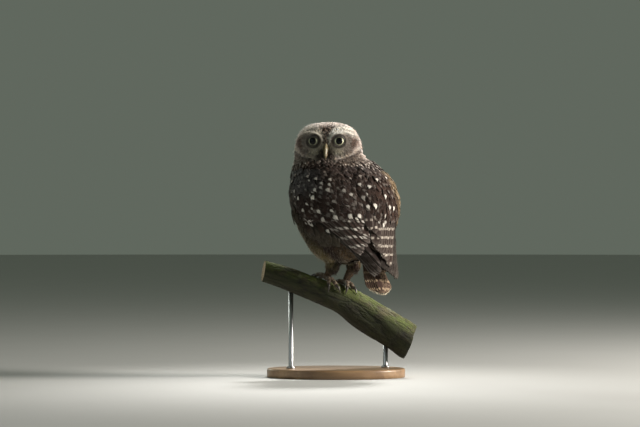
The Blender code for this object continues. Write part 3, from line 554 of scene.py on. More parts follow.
def blade_faces(rows, columns, flip=False):
    """Quads of a closed, lens-like blade: a top grid, and an under grid that shares its rim."""
    def low(i, j):
        rim = (i == 0) | (i == rows - 1) | (j == 0) | (j == columns - 1)
        inner = rows * columns + (i - 1) * (columns - 2) + (j - 1)
        return np.where(rim, i * columns + j, inner)

    i, j = np.meshgrid(np.arange(rows - 1), np.arange(columns - 1), indexing="ij")
    i, j = i.ravel(), j.ravel()
    under = np.stack([low(i, j), low(i + 1, j), low(i + 1, j + 1), low(i, j + 1)], axis=1)
    faces = np.concatenate([grid_faces(rows, columns), under])
    return faces[:, ::-1] if flip else faces


def blade_grid(rows, columns, bunch=1.3):
    """Shares along and across a blade for each of its points, the stations closer together at its tip."""
    along = 1 - (1 - np.linspace(0, 1, rows)) ** bunch
    across = np.linspace(-1, 1, columns)
    v, u = np.meshgrid(along, across, indexing="ij")
    return v, u


def feather_object(name, top, lower, v, u, looks, home, patch, material, flip=False):
    """One mesh of many blades. top and lower are (blades, rows, columns, 3) points of their two faces.

    looks maps attribute names to one value for each blade, or to one for each of its top points. home is
    each blade's place on the unwrapped coat and patch the size of its part of that map.
    """
    count, rows, columns, _ = top.shape
    inner = lower[:, 1:-1, 1:-1].reshape(count, -1, 3)
    points = np.concatenate([top.reshape(count, -1, 3), inner], axis=1)
    each = points.shape[1]
    faces = blade_faces(rows, columns, flip)
    faces = (np.arange(count)[:, None, None] * each + faces[None]).reshape(-1, 4)
    made = new_object(name, points.reshape(-1, 3), faces, material)

    def spread(values):
        values = np.asarray(values, float)
        if values.ndim >= 3 and values.shape[:3] == (count, rows, columns):
            tops = values.reshape(count, rows * columns, -1)
            lows = values[:, 1:-1, 1:-1].reshape(count, (rows - 2) * (columns - 2), -1)
            full = np.concatenate([tops, lows], axis=1)
            return full.reshape(count * each, -1).squeeze()
        full = np.repeat(values.reshape(count, 1, -1), each, axis=1)
        return full.reshape(count * each, -1).squeeze()

    for key, values in looks.items():
        paint(made, key, spread(values))
    u_all = spread(np.broadcast_to(u, (count, rows, columns))[..., None])
    v_all = spread(np.broadcast_to(v, (count, rows, columns))[..., None])
    lay_uv(made, "plume", np.stack([u_all * 0.5 + 0.5, v_all], axis=1))
    size = np.broadcast_to(np.asarray(patch, float), (count, 2))
    local = np.stack([u_all.reshape(count, each) * 0.5, v_all.reshape(count, each) - 0.5], axis=2)
    lay_uv(made, "OFBake", (home[:, None] + local * size[:, None]).reshape(-1, 2))
    return made


PLUME_SHAPE = smooth_table(((0.0, 0.3), (0.2, 0.7), (0.5, 0.98), (0.7, 1.0), (0.88, 0.78), (1.0, 0.25)))
POINTED_SHAPE = smooth_table(((0.0, 0.5), (0.25, 0.95), (0.5, 1.0), (0.8, 0.62), (1.0, 0.12)))


class Ground:
    """A mesh surface that feathers grow from, in millimetres."""

    def __init__(self, points, normals, faces):
        self.points, self.normals, self.faces = points, normals, faces
        self.tree = BVHTree.FromPolygons([tuple(p) for p in points], faces)

    def nearest(self, points):
        """The nearest surface points and the smoothed normals there."""
        found = np.empty((len(points), 3))
        normals = np.empty((len(points), 3))
        for i, point in enumerate(points):
            place, _, index, _ = self.tree.find_nearest(point)
            found[i] = place
            corners = list(self.faces[index])
            reach = np.linalg.norm(self.points[corners] - found[i], axis=1) + 0.05
            normals[i] = (self.normals[corners] / reach[:, None]).sum(axis=0)
        return found, unit(normals)

    def spread(self, count, weight):
        """Random places on the surface, by area times a weight, and the normals there."""
        quads = np.array([face if len(face) == 4 else (*face, face[2]) for face in self.faces])
        a, b, c, d = (self.points[quads[:, i]] for i in range(4))
        share = np.linalg.norm(np.cross(c - a, d - b), axis=1) * weight((a + b + c + d) / 4)
        picked = rng.choice(len(quads), count, p=share / share.sum())
        s, t = rng.random((2, count, 1))
        near, far = a[picked] + (b - a)[picked] * s, d[picked] + (c - d)[picked] * s
        return near + (far - near) * t, unit(self.normals[quads[picked]].mean(axis=1))


# Where feathers have been set so far, and what the loose barbs at their rims and over their faces need.
PLANTED = []
FRINGES = []
OVERLAY = []


def ground_of(item):
    faces = [tuple(face.vertices) for face in item.data.polygons]
    return Ground(places_of(item), read_vertices(item, "normal"), faces)


def ground_of_grid(points):
    """A ground from a grid of points, (rows, columns, 3), that faces away from the body's middle."""
    normals = unit(np.cross(np.gradient(points, axis=1), np.gradient(points, axis=0)))
    centre = torso_at(points[..., 2])[..., :2]
    outward = ((points[..., :2] - centre) * normals[..., :2]).sum(axis=-1)
    normals = normals * np.sign(np.median(outward))
    faces = [tuple(face) for face in grid_faces(points.shape[0], points.shape[1])]
    return Ground(points.reshape(-1, 3), normals.reshape(-1, 3), faces)


def note_barbs(top, ahead, across, out, v, u, looks, home, fringe):
    """Keeps where loose barbs leave some blades: a share of them round the rims, and others on the faces."""
    count, rows, columns, _ = top.shape
    aside = across[:, :, None] * u[None, :, :, None]
    spotted = looks["spot"][:, 0][:, None]
    tone, mark = looks["tone"][:, None], looks["mark"][:, None]
    homes = np.broadcast_to(home[:, None, None], (count, rows, columns, 2))

    rim = (v > 0.66) & ((np.abs(u) > 0.99) | (v > 0.999))
    ways = unit(ahead[:, :, None] + aside * 0.28)[:, rim]
    tones = tone + (mark - tone) * (spotted * (np.abs(u[rim]) < 0.6) * 0.8)[..., None]
    kept = rng.random(tones.shape[:2]) < fringe
    FRINGES.append([values[kept] for values in (top[:, rim], ways, tones, homes[:, rim])])

    inner = (v > 0.28) & (v < 0.97) & (np.abs(u) < 0.95)
    ways = unit(ahead[:, :, None] + aside * 0.2 + out[:, :, None] * 0.2)[:, inner]
    plain = (np.abs(v[inner] - SPOT_PLACE) > 0.16) | (np.abs(u[inner]) > 0.55)
    kept = (rng.random(ways.shape[:2]) < 0.3) & (plain | (spotted < 0.25))
    tones = tone * np.exp(rng.normal(0.12, 0.3, ways.shape[:2]))[..., None]
    OVERLAY.append([values[kept] for values in (top[:, inner], ways, tones, homes[:, inner])])


def plumes(name, ground, sites, looks, home, material, rows=6, columns=5, shape=PLUME_SHAPE,
           camber=0.18, thick=0.16, loose=0.12, sink=0.6, fringe=0.0):
    """Small feathers that lie over one another on the ground, each bent along it from root to tip.

    sites holds each feather's root, the normal there, the way it lies, its length and width, and how far
    its tip stands over the ground.
    """
    roots, normals, along, length, width, rise = sites
    count = len(roots)
    PLANTED.append(roots)
    along = laid_on(along, normals)
    ends, end_normals = ground.nearest(roots + along * length[:, None])
    tip = ends + end_normals * rise[:, None]
    end_way = laid_on(along, end_normals)
    end_way = unit(end_way + end_normals * (rng.normal(0.0, 0.06, count) + loose)[:, None])
    start = roots - normals * sink
    knee = tip - end_way * (length * 0.55)[:, None]

    v, u = blade_grid(rows, columns)
    t = v[:, 0]
    curve = (
        start[:, None] * ((1 - t) ** 2)[None, :, None]
        + knee[:, None] * (2 * t * (1 - t))[None, :, None]
        + tip[:, None] * (t ** 2)[None, :, None]
    )
    ahead = unit(
        (knee - start)[:, None] * (1 - t)[None, :, None] + (tip - knee)[:, None] * t[None, :, None]
    )
    out = normals[:, None] + (end_normals - normals)[:, None] * t[None, :, None]
    across = unit(np.cross(ahead, out))
    out = np.cross(across, ahead)
    roll = rng.normal(0.0, 0.10, count)[:, None, None]
    across, out = across * np.cos(roll) + out * np.sin(roll), out * np.cos(roll) - across * np.sin(roll)

    half = (width[:, None] / 2) * shape(t)[None, :, 0]
    ragged = 1 + rng.normal(0.0, 0.10, (count, rows, columns)) * (np.abs(u) > 0.7)
    reach = half[:, :, None] * u[None] * ragged
    round_off = -(np.abs(u) ** 2.2) * fade(v, 0.45, 1.0) * 0.16
    slip = round_off[None] + rng.normal(0.0, 0.02, (count, rows, columns)) * (v > 0.6)
    slip = slip * length[:, None, None]
    dip = -camber * (u ** 2)[None] * half[:, :, None] * 1.2
    top = (
        curve[:, :, None]
        + across[:, :, None] * reach[..., None]
        + ahead[:, :, None] * slip[..., None]
        + out[:, :, None] * (dip + thick / 2)[..., None]
    )
    lower = top - out[:, :, None] * thick
    if fringe:
        note_barbs(top, ahead, across, out, v, u, looks, home, fringe)
    return feather_object(name, top, lower, v, u, looks, home, PLUME_PATCH, material)


def chosen_of(values, chosen):
    """The chosen feathers' part of what a dictionary or a list holds for all of them."""
    if isinstance(values, dict):
        return {key: value[chosen] for key, value in values.items()}
    return [value[chosen] for value in values]


def barbs(name, roots, ways, length, radius, sag, tones, home, material, segments=3):
    """Fine loose barbs: thin three-sided tapers that leave their roots along ways and bend down a little."""
    count = len(roots)
    ways = unit(ways)
    helper = np.where(np.abs(ways[:, 2:3]) > 0.9, np.array(((1.0, 0.0, 0.0),)), np.array(((0.0, 0.0, 1.0),)))
    side = unit(np.cross(ways, helper))
    rise = np.cross(side, ways)
    bend = unit(rng.normal(0.0, 1.0, (count, 3)) * 0.5 + np.array((0.0, 0.0, -1.0)))
    points = []
    for i in range(segments):
        t = i / segments
        centre = roots + ways * (length * t)[:, None] + bend * (sag * length * t * t)[:, None]
        for j in range(3):
            turn = math.tau * j / 3
            offset = side * math.cos(turn) + rise * math.sin(turn)
            points.append(centre + offset * (radius * (1 - 0.65 * t))[:, None])
    tip = roots + ways * length[:, None] + bend * (sag * length)[:, None]
    points.append(tip)
    points = np.stack(points, axis=1)
    each = points.shape[1]
    faces = [(0, 2, 1)]
    for i in range(segments - 1):
        for j in range(3):
            k = (j + 1) % 3
            a, b, c, d = i * 3 + j, i * 3 + k, (i + 1) * 3 + k, (i + 1) * 3 + j
            faces += [(a, b, c), (a, c, d)]
    for j in range(3):
        faces.append(((segments - 1) * 3 + j, (segments - 1) * 3 + (j + 1) % 3, segments * 3))
    faces = (np.arange(count)[:, None, None] * each + np.array(faces)[None]).reshape(-1, 3)
    made = new_object(name, points.reshape(-1, 3), faces, material)
    paint(made, "tone", np.repeat(tones[:, None], each, axis=1).reshape(-1, 3))
    shares = np.concatenate([np.repeat(np.arange(segments) / segments, 3), (1.0,)])
    paint(made, "share", np.tile(shares, count))
    local = np.stack([np.zeros(each), shares - 0.5], axis=1) * PLUME_PATCH
    lay_uv(made, "OFBake", (home[:, None] + local[None]).reshape(-1, 2))
    return made


class Graph:
    """A short way to write a material's nodes."""

    def __init__(self, name, roughness=0.8, **sockets):
        self.material = bpy.data.materials.new(name)
        self.material.use_nodes = True
        self.tree = self.material.node_tree
        self.shader = self.tree.nodes["Principled BSDF"]
        self.shader.inputs["Roughness"].default_value = roughness
        for key, value in sockets.items():
            self.shader.inputs[key.replace("_", " ")].default_value = value

    def node(self, kind, outlet=0, inputs=None, **settings):
        made = self.tree.nodes.new(kind)
        for key, value in settings.items():
            setattr(made, key, value)
        for key, value in (inputs or {}).items():
            if isinstance(value, bpy.types.NodeSocket):
                self.tree.links.new(value, made.inputs[key])
            else:
                made.inputs[key].default_value = value
        return made.outputs[outlet]

    def math(self, operation, a, b=0.0, c=0.0):
        return self.node("ShaderNodeMath", 0, {0: a, 1: b, 2: c}, operation=operation)

    def plus(self, a, b):
        return self.math("ADD", a, b)

    def minus(self, a, b):
        return self.math("SUBTRACT", a, b)

    def times(self, a, b):
        return self.math("MULTIPLY", a, b)

    def most(self, a, b):
        return self.math("MAXIMUM", a, b)

    def distance(self, a, b):
        return self.math("SQRT", self.plus(self.times(a, a), self.times(b, b)))

    def band(self, value, low, high, to_low=0.0, to_high=1.0):
        """A smooth step of a value from low to high."""
        inputs = {"Value": value, "From Min": low, "From Max": high, "To Min": to_low, "To Max": to_high}
        return self.node("ShaderNodeMapRange", 0, inputs, interpolation_type="SMOOTHSTEP")

    def voronoi(self, scale, **settings):
        inputs = {"Vector": self.place(), "Scale": scale}
        return self.node("ShaderNodeTexVoronoi", 0, inputs, **settings)

    def joined(self, x, y, z):
        return self.node("ShaderNodeCombineXYZ", 0, {0: x, 1: y, 2: z})

    def blend(self, share, a, b):
        return self.node("ShaderNodeMix", 2, {0: share, 6: a, 7: b}, data_type="RGBA")

    def scaled(self, colour, factor):
        return self.node("ShaderNodeVectorMath", 0, {0: colour, 3: factor}, operation="SCALE")

    def stored(self, name, outlet="Vector"):
        return self.node("ShaderNodeAttribute", outlet, attribute_name=name)

    def parts(self, vector):
        made = self.tree.nodes.new("ShaderNodeSeparateXYZ")
        self.tree.links.new(vector, made.inputs[0])
        return made.outputs

    def place(self):
        return self.node("ShaderNodeTexCoord", "Object")

    def noise(self, scale, detail=4.0, rough=0.55, vector=None, outlet=0, distortion=0.0):
        inputs = {"Vector": vector or self.place(), "Scale": scale, "Detail": detail, "Roughness": rough,
                  "Distortion": distortion}
        return self.node("ShaderNodeTexNoise", outlet, inputs)

    def stretched(self, scale, vector=None):
        """Places, scaled by a different number along each axis."""
        inputs = {"Vector": vector or self.place(), "Scale": scale}
        return self.node("ShaderNodeMapping", 0, inputs)

    def set(self, socket, value):
        self.tree.links.new(value, self.shader.inputs[socket])

    def bump(self, height, strength, distance):
        inputs = {"Height": height, "Strength": strength, "Distance": distance}
        self.set("Normal", self.node("ShaderNodeBump", 0, inputs))


def feather_material(name, roughness=0.72, barb_rate=46.0, root_painted_shade=0.45, **sockets):
    """Feather colours from what each blade stores: a ground tone, and spots, bars, streaks and margins, with
    painted shade towards the root where the feathers overlap.
    """
    g = Graph(name, roughness, **sockets)
    tone = g.stored("tone", "Color")
    mark = g.stored("mark", "Color")
    spot_strength, spot_v, spot_u = g.parts(g.stored("spot"))
    size_u, size_v, margin = g.parts(g.stored("size"))
    bar_strength, row, bar_width = g.parts(g.stored("bars"))
    streak, seed, dusk = g.parts(g.stored("trim"))
    u, v, _ = g.parts(g.node("ShaderNodeUVMap", 0, uv_map="plume"))
    uu = g.math("ABSOLUTE", g.times(g.minus(u, 0.5), 2.0))
    wobble = g.times(g.minus(g.noise(900.0, 2.0), 0.5), 0.5)

    du = g.math("DIVIDE", g.minus(uu, spot_u), size_u)
    dv = g.math("DIVIDE", g.minus(v, spot_v), size_v)
    away = g.plus(g.distance(du, dv), wobble)
    spots = g.times(g.band(away, 0.62, 1.15, 1.0, 0.0), spot_strength)

    beat = g.math("ABSOLUTE", g.minus(g.math("FRACT", g.plus(row, 0.5)), 0.5))
    beat = g.plus(beat, g.times(wobble, 0.16))
    bars = g.times(g.band(g.minus(bar_width, beat), -0.03, 0.05), bar_strength)
    vane_only = g.times(g.band(uu, 0.16, 0.42), g.band(uu, 0.84, 0.98, 1.0, 0.0))
    bars = g.times(bars, vane_only)

    streaks = g.times(g.band(g.plus(uu, wobble), 0.10, 0.42, 1.0, 0.0), streak)
    streaks = g.times(streaks, g.band(v, 0.15, 0.55))
    rim = g.times(g.most(g.band(uu, 0.62, 1.0), g.band(v, 0.90, 1.0)), margin)
    colour = g.blend(g.most(g.most(spots, bars), g.most(streaks, rim)), tone, mark)

    slant = g.plus(g.minus(v, g.times(uu, 0.34)), g.times(wobble, 0.05))
    barb = g.math("SINE", g.times(g.plus(slant, seed), barb_rate))
    clumps = g.noise(1400.0, 3.0)
    shade = g.plus(g.times(barb, 0.07), g.plus(g.times(clumps, 0.5), 0.75))
    # Painted shade: each blade is darker towards its root, where the feather over it shades it.
    shade = g.times(shade, g.band(v, 0.25, 0.85, 1.0 - root_painted_shade, 1.0))
    shaft = g.band(uu, 0.03, 0.09, 0.72, 1.0)
    shade = g.times(shade, g.plus(g.times(g.minus(shaft, 1.0), dusk), 1.0))
    g.set("Base Color", g.scaled(colour, shade))
    height = g.plus(g.times(barb, 0.28), g.band(uu, 0.0, 0.08, 0.7, 0.0))
    g.bump(g.plus(height, clumps), 0.35, 0.0002)
    return g.material


def barb_material(name, **sockets):
    """The loose barbs' colour, lighter towards their tips."""
    g = Graph(name, 0.7, **sockets)
    paler = g.band(g.stored("share", "Fac"), 0.0, 1.0, 0.75, 1.25)
    shade = g.times(g.plus(g.noise(700.0, 3.0), 0.5), paler)
    g.set("Base Color", g.scaled(g.stored("tone", "Color"), shade))
    g.bump(g.noise(3000.0, 2.0), 0.2, 0.0001)
    return g.material


def body_coat(points):
    """The body's colours: a dark back, soft flanks, a paler rump, a streaked belly and the collar's ruff,
    with painted light on the owl's right side and painted shade at the bottom.
    """
    z, a = points[:, 2], round_body(points)
    far = np.abs(a)
    on_belly = fade(far, 92.0, 118.0)
    on_flank = fade(far, 66.0, 86.0) * (1 - on_belly)
    on_rump = fade(z, 58.0, 40.0) * fade(far, 60.0, 42.0)
    low = fade(z, 62.0, 34.0)

    tone = np.tile(linear(50, 40, 36), (len(points), 1))
    # Painted light: the back is painted warmer and lighter towards the owl's right side.
    tone = mix(tone, linear(70, 50, 42), fade(a, 5.0, 45.0) * 0.7)
    flank = mix(linear(58, 51, 39), linear(116, 104, 74), fade(z, 56.0, 34.0))
    # Painted light: the upper flank on the owl's right is painted paler.
    flank = mix(flank, linear(148, 122, 98), fade(a, 62.0, 76.0) * fade(z, 50.0, 66.0) * 0.7)
    tone = mix(tone, flank, on_flank)
    tone = mix(tone, linear(96, 80, 62), on_rump * 0.8)
    tone = mix(tone, mix(linear(146, 132, 102), linear(150, 140, 112), low), on_belly)
    # Painted shade: the lowest part of the body, over the feet and the branch, is painted much darker.
    tone = tone * (1 - 0.78 * fade(z, 30.0, 15.0))[:, None]
    mark = np.tile(linear(214, 208, 198), (len(points), 1))
    mark = mix(mark, linear(158, 146, 120), on_flank)
    mark = mix(mark, linear(78, 60, 46), on_belly)
    spot = 0.42 * (1 - on_belly) * (1 - on_rump) * (1 - on_flank) * fade(z, 58.0, 70.0)

    on_ruff = fade(z, 112.0, 124.0)
    # Painted light: on the owl's right the ruff's marks are painted paler and its spots stronger.
    painted_light_share = fade(a, 8.0, 34.0)
    return {
        "tone": mix(tone, linear(70, 58, 53), on_ruff * 0.85),
        "mark": mix(mark, mix(linear(150, 136, 126), linear(210, 200, 190), painted_light_share), on_ruff),
        "spot": mix(spot, 0.34 + 0.26 * painted_light_share, on_ruff),
        "streak": on_belly * mix(0.85, 0.25, low) * (1 - on_ruff),
        "margin": 0.22 * on_flank + 0.25 * on_rump,
        "belly": on_belly,
    }


def head_coat(local):
    """The head's colours: a pale plain crown, and the facial disc with its brows, eye rims and cheeks."""
    s, f, u = local.T
    far = np.abs(s)
    front, rear = fade(f, 3.0, 12.0), fade(f, 4.0, -10.0)
    ds, du = s - np.where(s > 0, EYE_SIDE, -EYE_SIDE), u - EYE_UP
    away, outward = np.hypot(ds, du), ds * np.sign(s)

    from_wedge = far - (2.2 + 0.36 * np.clip(u - 13.0, 0.0, 30.0))
    on_forehead = front * fade(from_wedge, 1.6, -1.4) * fade(u, 10.0, 14.0) * fade(u, 32.0, 27.0)
    on_disc = front * fade(away, 16.5, 13.5) * fade(u, -4.0, -1.0)
    on_temple = front * fade(outward, 8.0, 13.0) * fade(away, 11.0, 14.0) * fade(away, 21.0, 17.0)
    on_temple = on_temple * fade(u, 6.0, 12.0)
    under_eye = front * fade(away, 15.5, 11.5) * fade(du, 2.0, -4.0) * fade(outward, 7.0, 1.0)
    brow = curve_points(BROW_LINE, 40)
    from_brow = np.hypot(far[:, None] - brow[None, :, 0], u[:, None] - brow[None, :, 1] - 0.6)
    on_brow = front * fade(np.min(from_brow, axis=1), 4.6, 1.6)
    # Painted light and shade: the pale brow is painted darker over the right eye and lighter over the left
    # eye.
    brow_painted_light_tone = mix(linear(186, 178, 164), linear(240, 234, 222), fade(s, -3.0, 3.0))
    near_eye = front * fade(away, 7.6, 6.4)
    on_lores = fade(f, 16.0, 20.0) * fade(far, 11.5, 6.5) * fade(u, -7.0, -3.0) * fade(u, 12.0, 6.0)
    on_bridge = fade(f, 16.0, 20.0) * fade(far, 5.0, 2.4) * fade(u, 8.0, 11.0) * fade(u, 22.0, 15.0)
    cheek = curve_points(CHEEK_LINE, 40)
    above = u - np.interp(far, cheek[:, 0], cheek[:, 1])
    below = fade(above, -1.4, -2.6)
    broken = 0.35 + 0.65 * fade(np.sin(s * 0.9) + np.sin(s * 0.37 + 1.0), -0.6, 0.9)
    on_cheek = front * fade(np.abs(above), 2.2, 0.8) * fade(far, 5.0, 9.0) * broken
    on_rim = front * fade(np.abs(away - 15.6), 1.8, 0.5) * fade(outward, -4.0, 4.0)
    on_rim = on_rim * fade(u, 1.0, 5.0) * fade(u, 24.0, 20.0)

    tone = np.tile(linear(182, 169, 161), (len(local), 1))
    for colour, share in (
        (linear(122, 102, 92), rear * 0.75),
        (linear(92, 73, 62), on_forehead),
        (linear(132, 123, 114), on_disc),
        (linear(98, 75, 65), on_temple * 0.9),
        (linear(178, 171, 152), under_eye * 0.85),
        (brow_painted_light_tone, on_brow * mix(0.92, 0.6, fade(far, 14.0, 26.0))),
        (linear(74, 66, 58), near_eye * 0.8),
        # The lores are dark, and their colour is painted darker still as painted shade of the bill.
        (linear(44, 33, 26), on_lores * 0.92),
        (linear(62, 50, 44), on_bridge * 0.85),
        (linear(192, 180, 162), on_cheek * 0.8),
        (linear(74, 62, 56), below * 0.95 * front),
        (linear(104, 88, 78), fade(above, -3.0, -6.0) * 0.7 * front),
        (linear(88, 74, 66), fade(u, 0.0, -9.0) * 0.8 * (1 - front)),
        (linear(76, 60, 52), on_rim * 0.75),
    ):
        tone = mix(tone, colour, share)
    dark_marks = np.clip(on_forehead * 1.2 + front * fade(u, 14.0, 22.0) * 0.5, 0, 1)
    plain = np.clip(on_disc + on_brow + near_eye + on_lores + on_cheek, 0, 1)
    spot = mix(mix(0.12, 0.55, rear * fade(u, 22.0, 4.0)), 0.55, fade(above, -3.0, -5.0))
    return {
        "tone": tone,
        "mark": mix(np.tile(linear(206, 196, 184), (len(local), 1)), linear(60, 46, 40), dark_marks),
        "spot": spot * (1 - front * (1 - below)),
        "streak": mix(0.18, 0.75, on_forehead) * (1 - plain),
        "margin": 0.35 * (1 - np.clip(front * fade(u, 10.0, 18.0), 0, 1) * 0.9),
        "forehead": on_forehead,
    }


def coat(points):
    """The owl's colours at places on its body: what the skin and every feather take there."""
    local = to_head(points)
    on_head = fade(head_ratio(local), 1.22, 1.08) * fade(points[:, 2], 117.0, 126.0)
    body, head = body_coat(points), head_coat(local)
    shared = ("tone", "mark", "spot", "streak", "margin")
    colours = {key: mix(body[key], head[key], on_head) for key in shared}
    colours["belly"] = body["belly"] * (1 - on_head)
    colours["forehead"] = head["forehead"] * on_head
    return colours


def looks_of(colours, count, size=(0.36, 0.11), vary=0.16):
    """What each of a set of blades stores, from the coat's colours at its root.

    spot is its strength and place, size the spot's width and length and the pale margin, and trim the
    streak, the seed of the barbs' pattern and the shaft's darkness.
    """
    light = spread_of(vary, count)[:, None]
    warm = 1 + rng.normal(0.0, 0.035, (count, 1)) * np.array(((1.0, 0.0, -1.0),))
    chance = rng.random(count)
    strength = np.clip(colours["spot"] * 2 - chance, 0.0, 1.0) ** 0.6
    zeros = np.zeros(count)
    return {
        "tone": np.clip(colours["tone"] * light * warm, 0, BRIGHTEST),
        "mark": np.clip(colours["mark"] * spread_of(0.08, count)[:, None], 0, 0.92),
        "spot": np.stack([strength, SPOT_PLACE + rng.normal(0, 0.02, count), zeros], axis=1),
        "size": np.stack([
            size[0] * spread_of(0.15, count), size[1] * spread_of(0.15, count), colours["margin"],
        ], axis=1),
        "bars": np.zeros((count, 3)),
        "trim": np.stack([colours["streak"], rng.random(count) * 7.0, zeros + 0.3], axis=1),
    }


def body_home(points):
    """A place on the unwrapped coat for points of the body: round it and up it."""
    round_share = round_body(points) / (math.tau * ROUND_RADIUS)
    return np.stack([0.5 + round_share * 0.98, 0.02 + (points[:, 2] + 30.0) / 210.0 * 0.96], axis=1)


def head_home(points):
    """A place on the unwrapped coat for points of the head: its longitude and latitude."""
    way = unit(to_head(points))
    longitude = np.arctan2(way[:, 0], way[:, 1])
    latitude = np.arcsin(np.clip(way[:, 2], -1, 1))
    return np.stack([0.5 + longitude / math.tau * 0.98, 0.5 + latitude / math.pi * 0.96], axis=1)


def tail_place(along, side, rise):
    """A point of the tail from its share of the length, its distance aside and its height over the tail."""
    turn = math.radians(TAIL_LATERAL_DEG)
    lateral = np.array((math.cos(turn), math.sin(turn), 0.0))
    run = TAIL_TIP - TAIL_ROOT
    out = unit(np.cross(lateral, run))
    if out[1] > 0:
        out = -out
    along, side, rise = (np.asarray(x, float)[..., None] for x in (along, side, rise))
    return TAIL_ROOT + run * along + lateral * side + out * rise


def knee(way):
    """Where a leg leaves the body's fluff; way is -1 on the left and 1 on the right."""
    turn = math.radians(HIPS_DEG)
    return HIPS + np.array((math.cos(turn), math.sin(turn), 0.0)) * way * HIP_REACH


def perch_frame(x):
    """Centre, axis, up and far directions of the branch where its centre line crosses x."""
    x = np.asarray(x, float)
    turn = math.radians(PERCH_YAW_DEG)
    slope = (perch_at(x + 2.0)[..., 0] - perch_at(x - 2.0)[..., 0]) / 4.0
    axis = unit(np.stack([np.ones_like(x), np.full_like(x, math.tan(turn)), slope], axis=-1))
    far = unit(np.cross(np.array((0.0, 0.0, 1.0)), axis))
    up = np.cross(axis, far)
    return np.stack([x, x * math.tan(turn), perch_at(x)[..., 0]], axis=-1), axis, up, far


def perch_radius(x, around):
    """How thick the branch is at a place along it and round it."""
    x, around = np.asarray(x, float), np.asarray(around, float)
    wave = 0.035 * np.sin(x / 17.0 + 2 * around) + 0.03 * np.sin(x / 9.0 - around + 1.0)
    furrow = 0.045 * np.sin(5 * around + x / 26.0) * np.clip((x + 30.0) / 70.0, 0.25, 1.0)
    return perch_at(x)[..., 1] * (1.0 + wave + furrow)


def perch_point(x, around, out=0.0):
    """A point on the branch, or a distance out from its bark."""
    centre, _, up, far = perch_frame(x)
    around = np.asarray(around, float)
    reach = (perch_radius(x, around) + out)[..., None]
    return centre + reach * (np.cos(around)[..., None] * up + np.sin(around)[..., None] * far)


def ellipsoid_rings(centre, radii, axes, rows=24, columns=32):
    fall = np.linspace(0.12, math.pi - 0.12, rows)
    turns = np.linspace(0, math.tau, columns, endpoint=False)
    local = np.stack([
        radii[0] * np.sin(fall)[:, None] * np.cos(turns)[None],
        radii[1] * np.sin(fall)[:, None] * np.sin(turns)[None],
        radii[2] * np.cos(fall)[:, None] * np.ones((1, columns)),
    ], axis=2)
    return centre + local @ np.asarray(axes).T


# Stands in on forms until they have their own material.
PLAIN = bpy.data.materials.new("form_plain")


def copy_node(name):
    """A copy of one of the model's solids, to blend into the form."""
    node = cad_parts[name]
    made = bpy.data.objects.new(f"copy_{name}", node.data.copy())
    bpy.context.scene.collection.objects.link(made)
    return made


def make_form():
    """The whole body's outer form in one piece, at the tips of the coat, with no seam."""
    heights = np.concatenate([np.linspace(18.2, 32, 14), np.linspace(34, 150, 70)])
    turns = np.linspace(-math.pi, math.pi, 120, endpoint=False)
    z, angle = np.meshgrid(heights, turns, indexing="ij")
    raised = pad_rise(angle * ROUND_RADIUS, z) * fade(np.abs(angle), 2.2, 1.9)
    body = lathe_object("form_body", torso_point(angle, z, raised), PLAIN)
    lateral = unit(tail_place(0, 1, 0) - tail_place(0, 0, 0))
    run = unit(TAIL_TIP - TAIL_ROOT)
    axes = np.stack([lateral, np.cross(run, lateral), run], axis=1)
    rump = ellipsoid_rings(tail_place(0.1, 0.0, -3.5), (15.0, 7.5, 20.0), axes)
    rump = lathe_object("form_rump", rump, PLAIN)
    parts = [body, rump, copy_node("head"), copy_node("thigh_left"), copy_node("thigh_right")]
    for way in (-1, 1):
        path = [knee(way) + UP * height for height in (-3.0, 2.0, 8.0, 14.0, 20.0)]
        parts.append(lathe_object("form_leg", tube_rings(path, (4.5, 7.0, 9.5, 11.0, 11.0), 24), PLAIN))
    return remesh(join(parts, "form"), FORM_VOXEL, 6)


def coat_depth(points):
    """How far the skin lies under the coat's tips."""
    local = to_head(points)
    _, f, u = local.T
    height = points[:, 2]
    on_face = fade(f, 8.0, 19.0) * fade(u, -14.0, -7.0)
    depth = mix(3.3, mix(2.6, 1.0, on_face), fade(height, 118.0, 128.0))
    depth = mix(depth, 0.25, fade(f, 10.0, 16.0) * fade(eye_distance(local), 10.5, 8.5))
    rump = np.linalg.norm(points - tail_place(0.15, 0.0, -3.5), axis=1)
    depth = np.where(height < 36.0, mix(depth, 2.2, fade(rump, 26.0, 16.0)), depth)
    return mix(depth, 1.8, fade(height, 19.0, 14.0))


def make_skin(material):
    """The one skin under the coat: the outer form, sunk by the coat's depth, in the coat's darker colours."""
    skin = make_form()
    skin.name = skin.data.name = "owl_skin"
    places = places_of(skin)
    places -= read_vertices(skin, "normal") * coat_depth(places)[:, None]
    skin.data.vertices.foreach_set("co", ((places + FEET) * MM).astype(np.float32).ravel())
    skin.data.update()
    skin.data.materials.clear()
    skin.data.materials.append(material)
    colours = coat(places)
    paint(skin, "tone", colours["tone"] * SKIN_SHADE)
    paint(skin, "mark", colours["mark"] * SKIN_SHADE)
    paint(skin, "spots", colours["spot"])
    return show(skin, "back_feathers", "torso", "head", "neck", "thigh_left", "thigh_right")


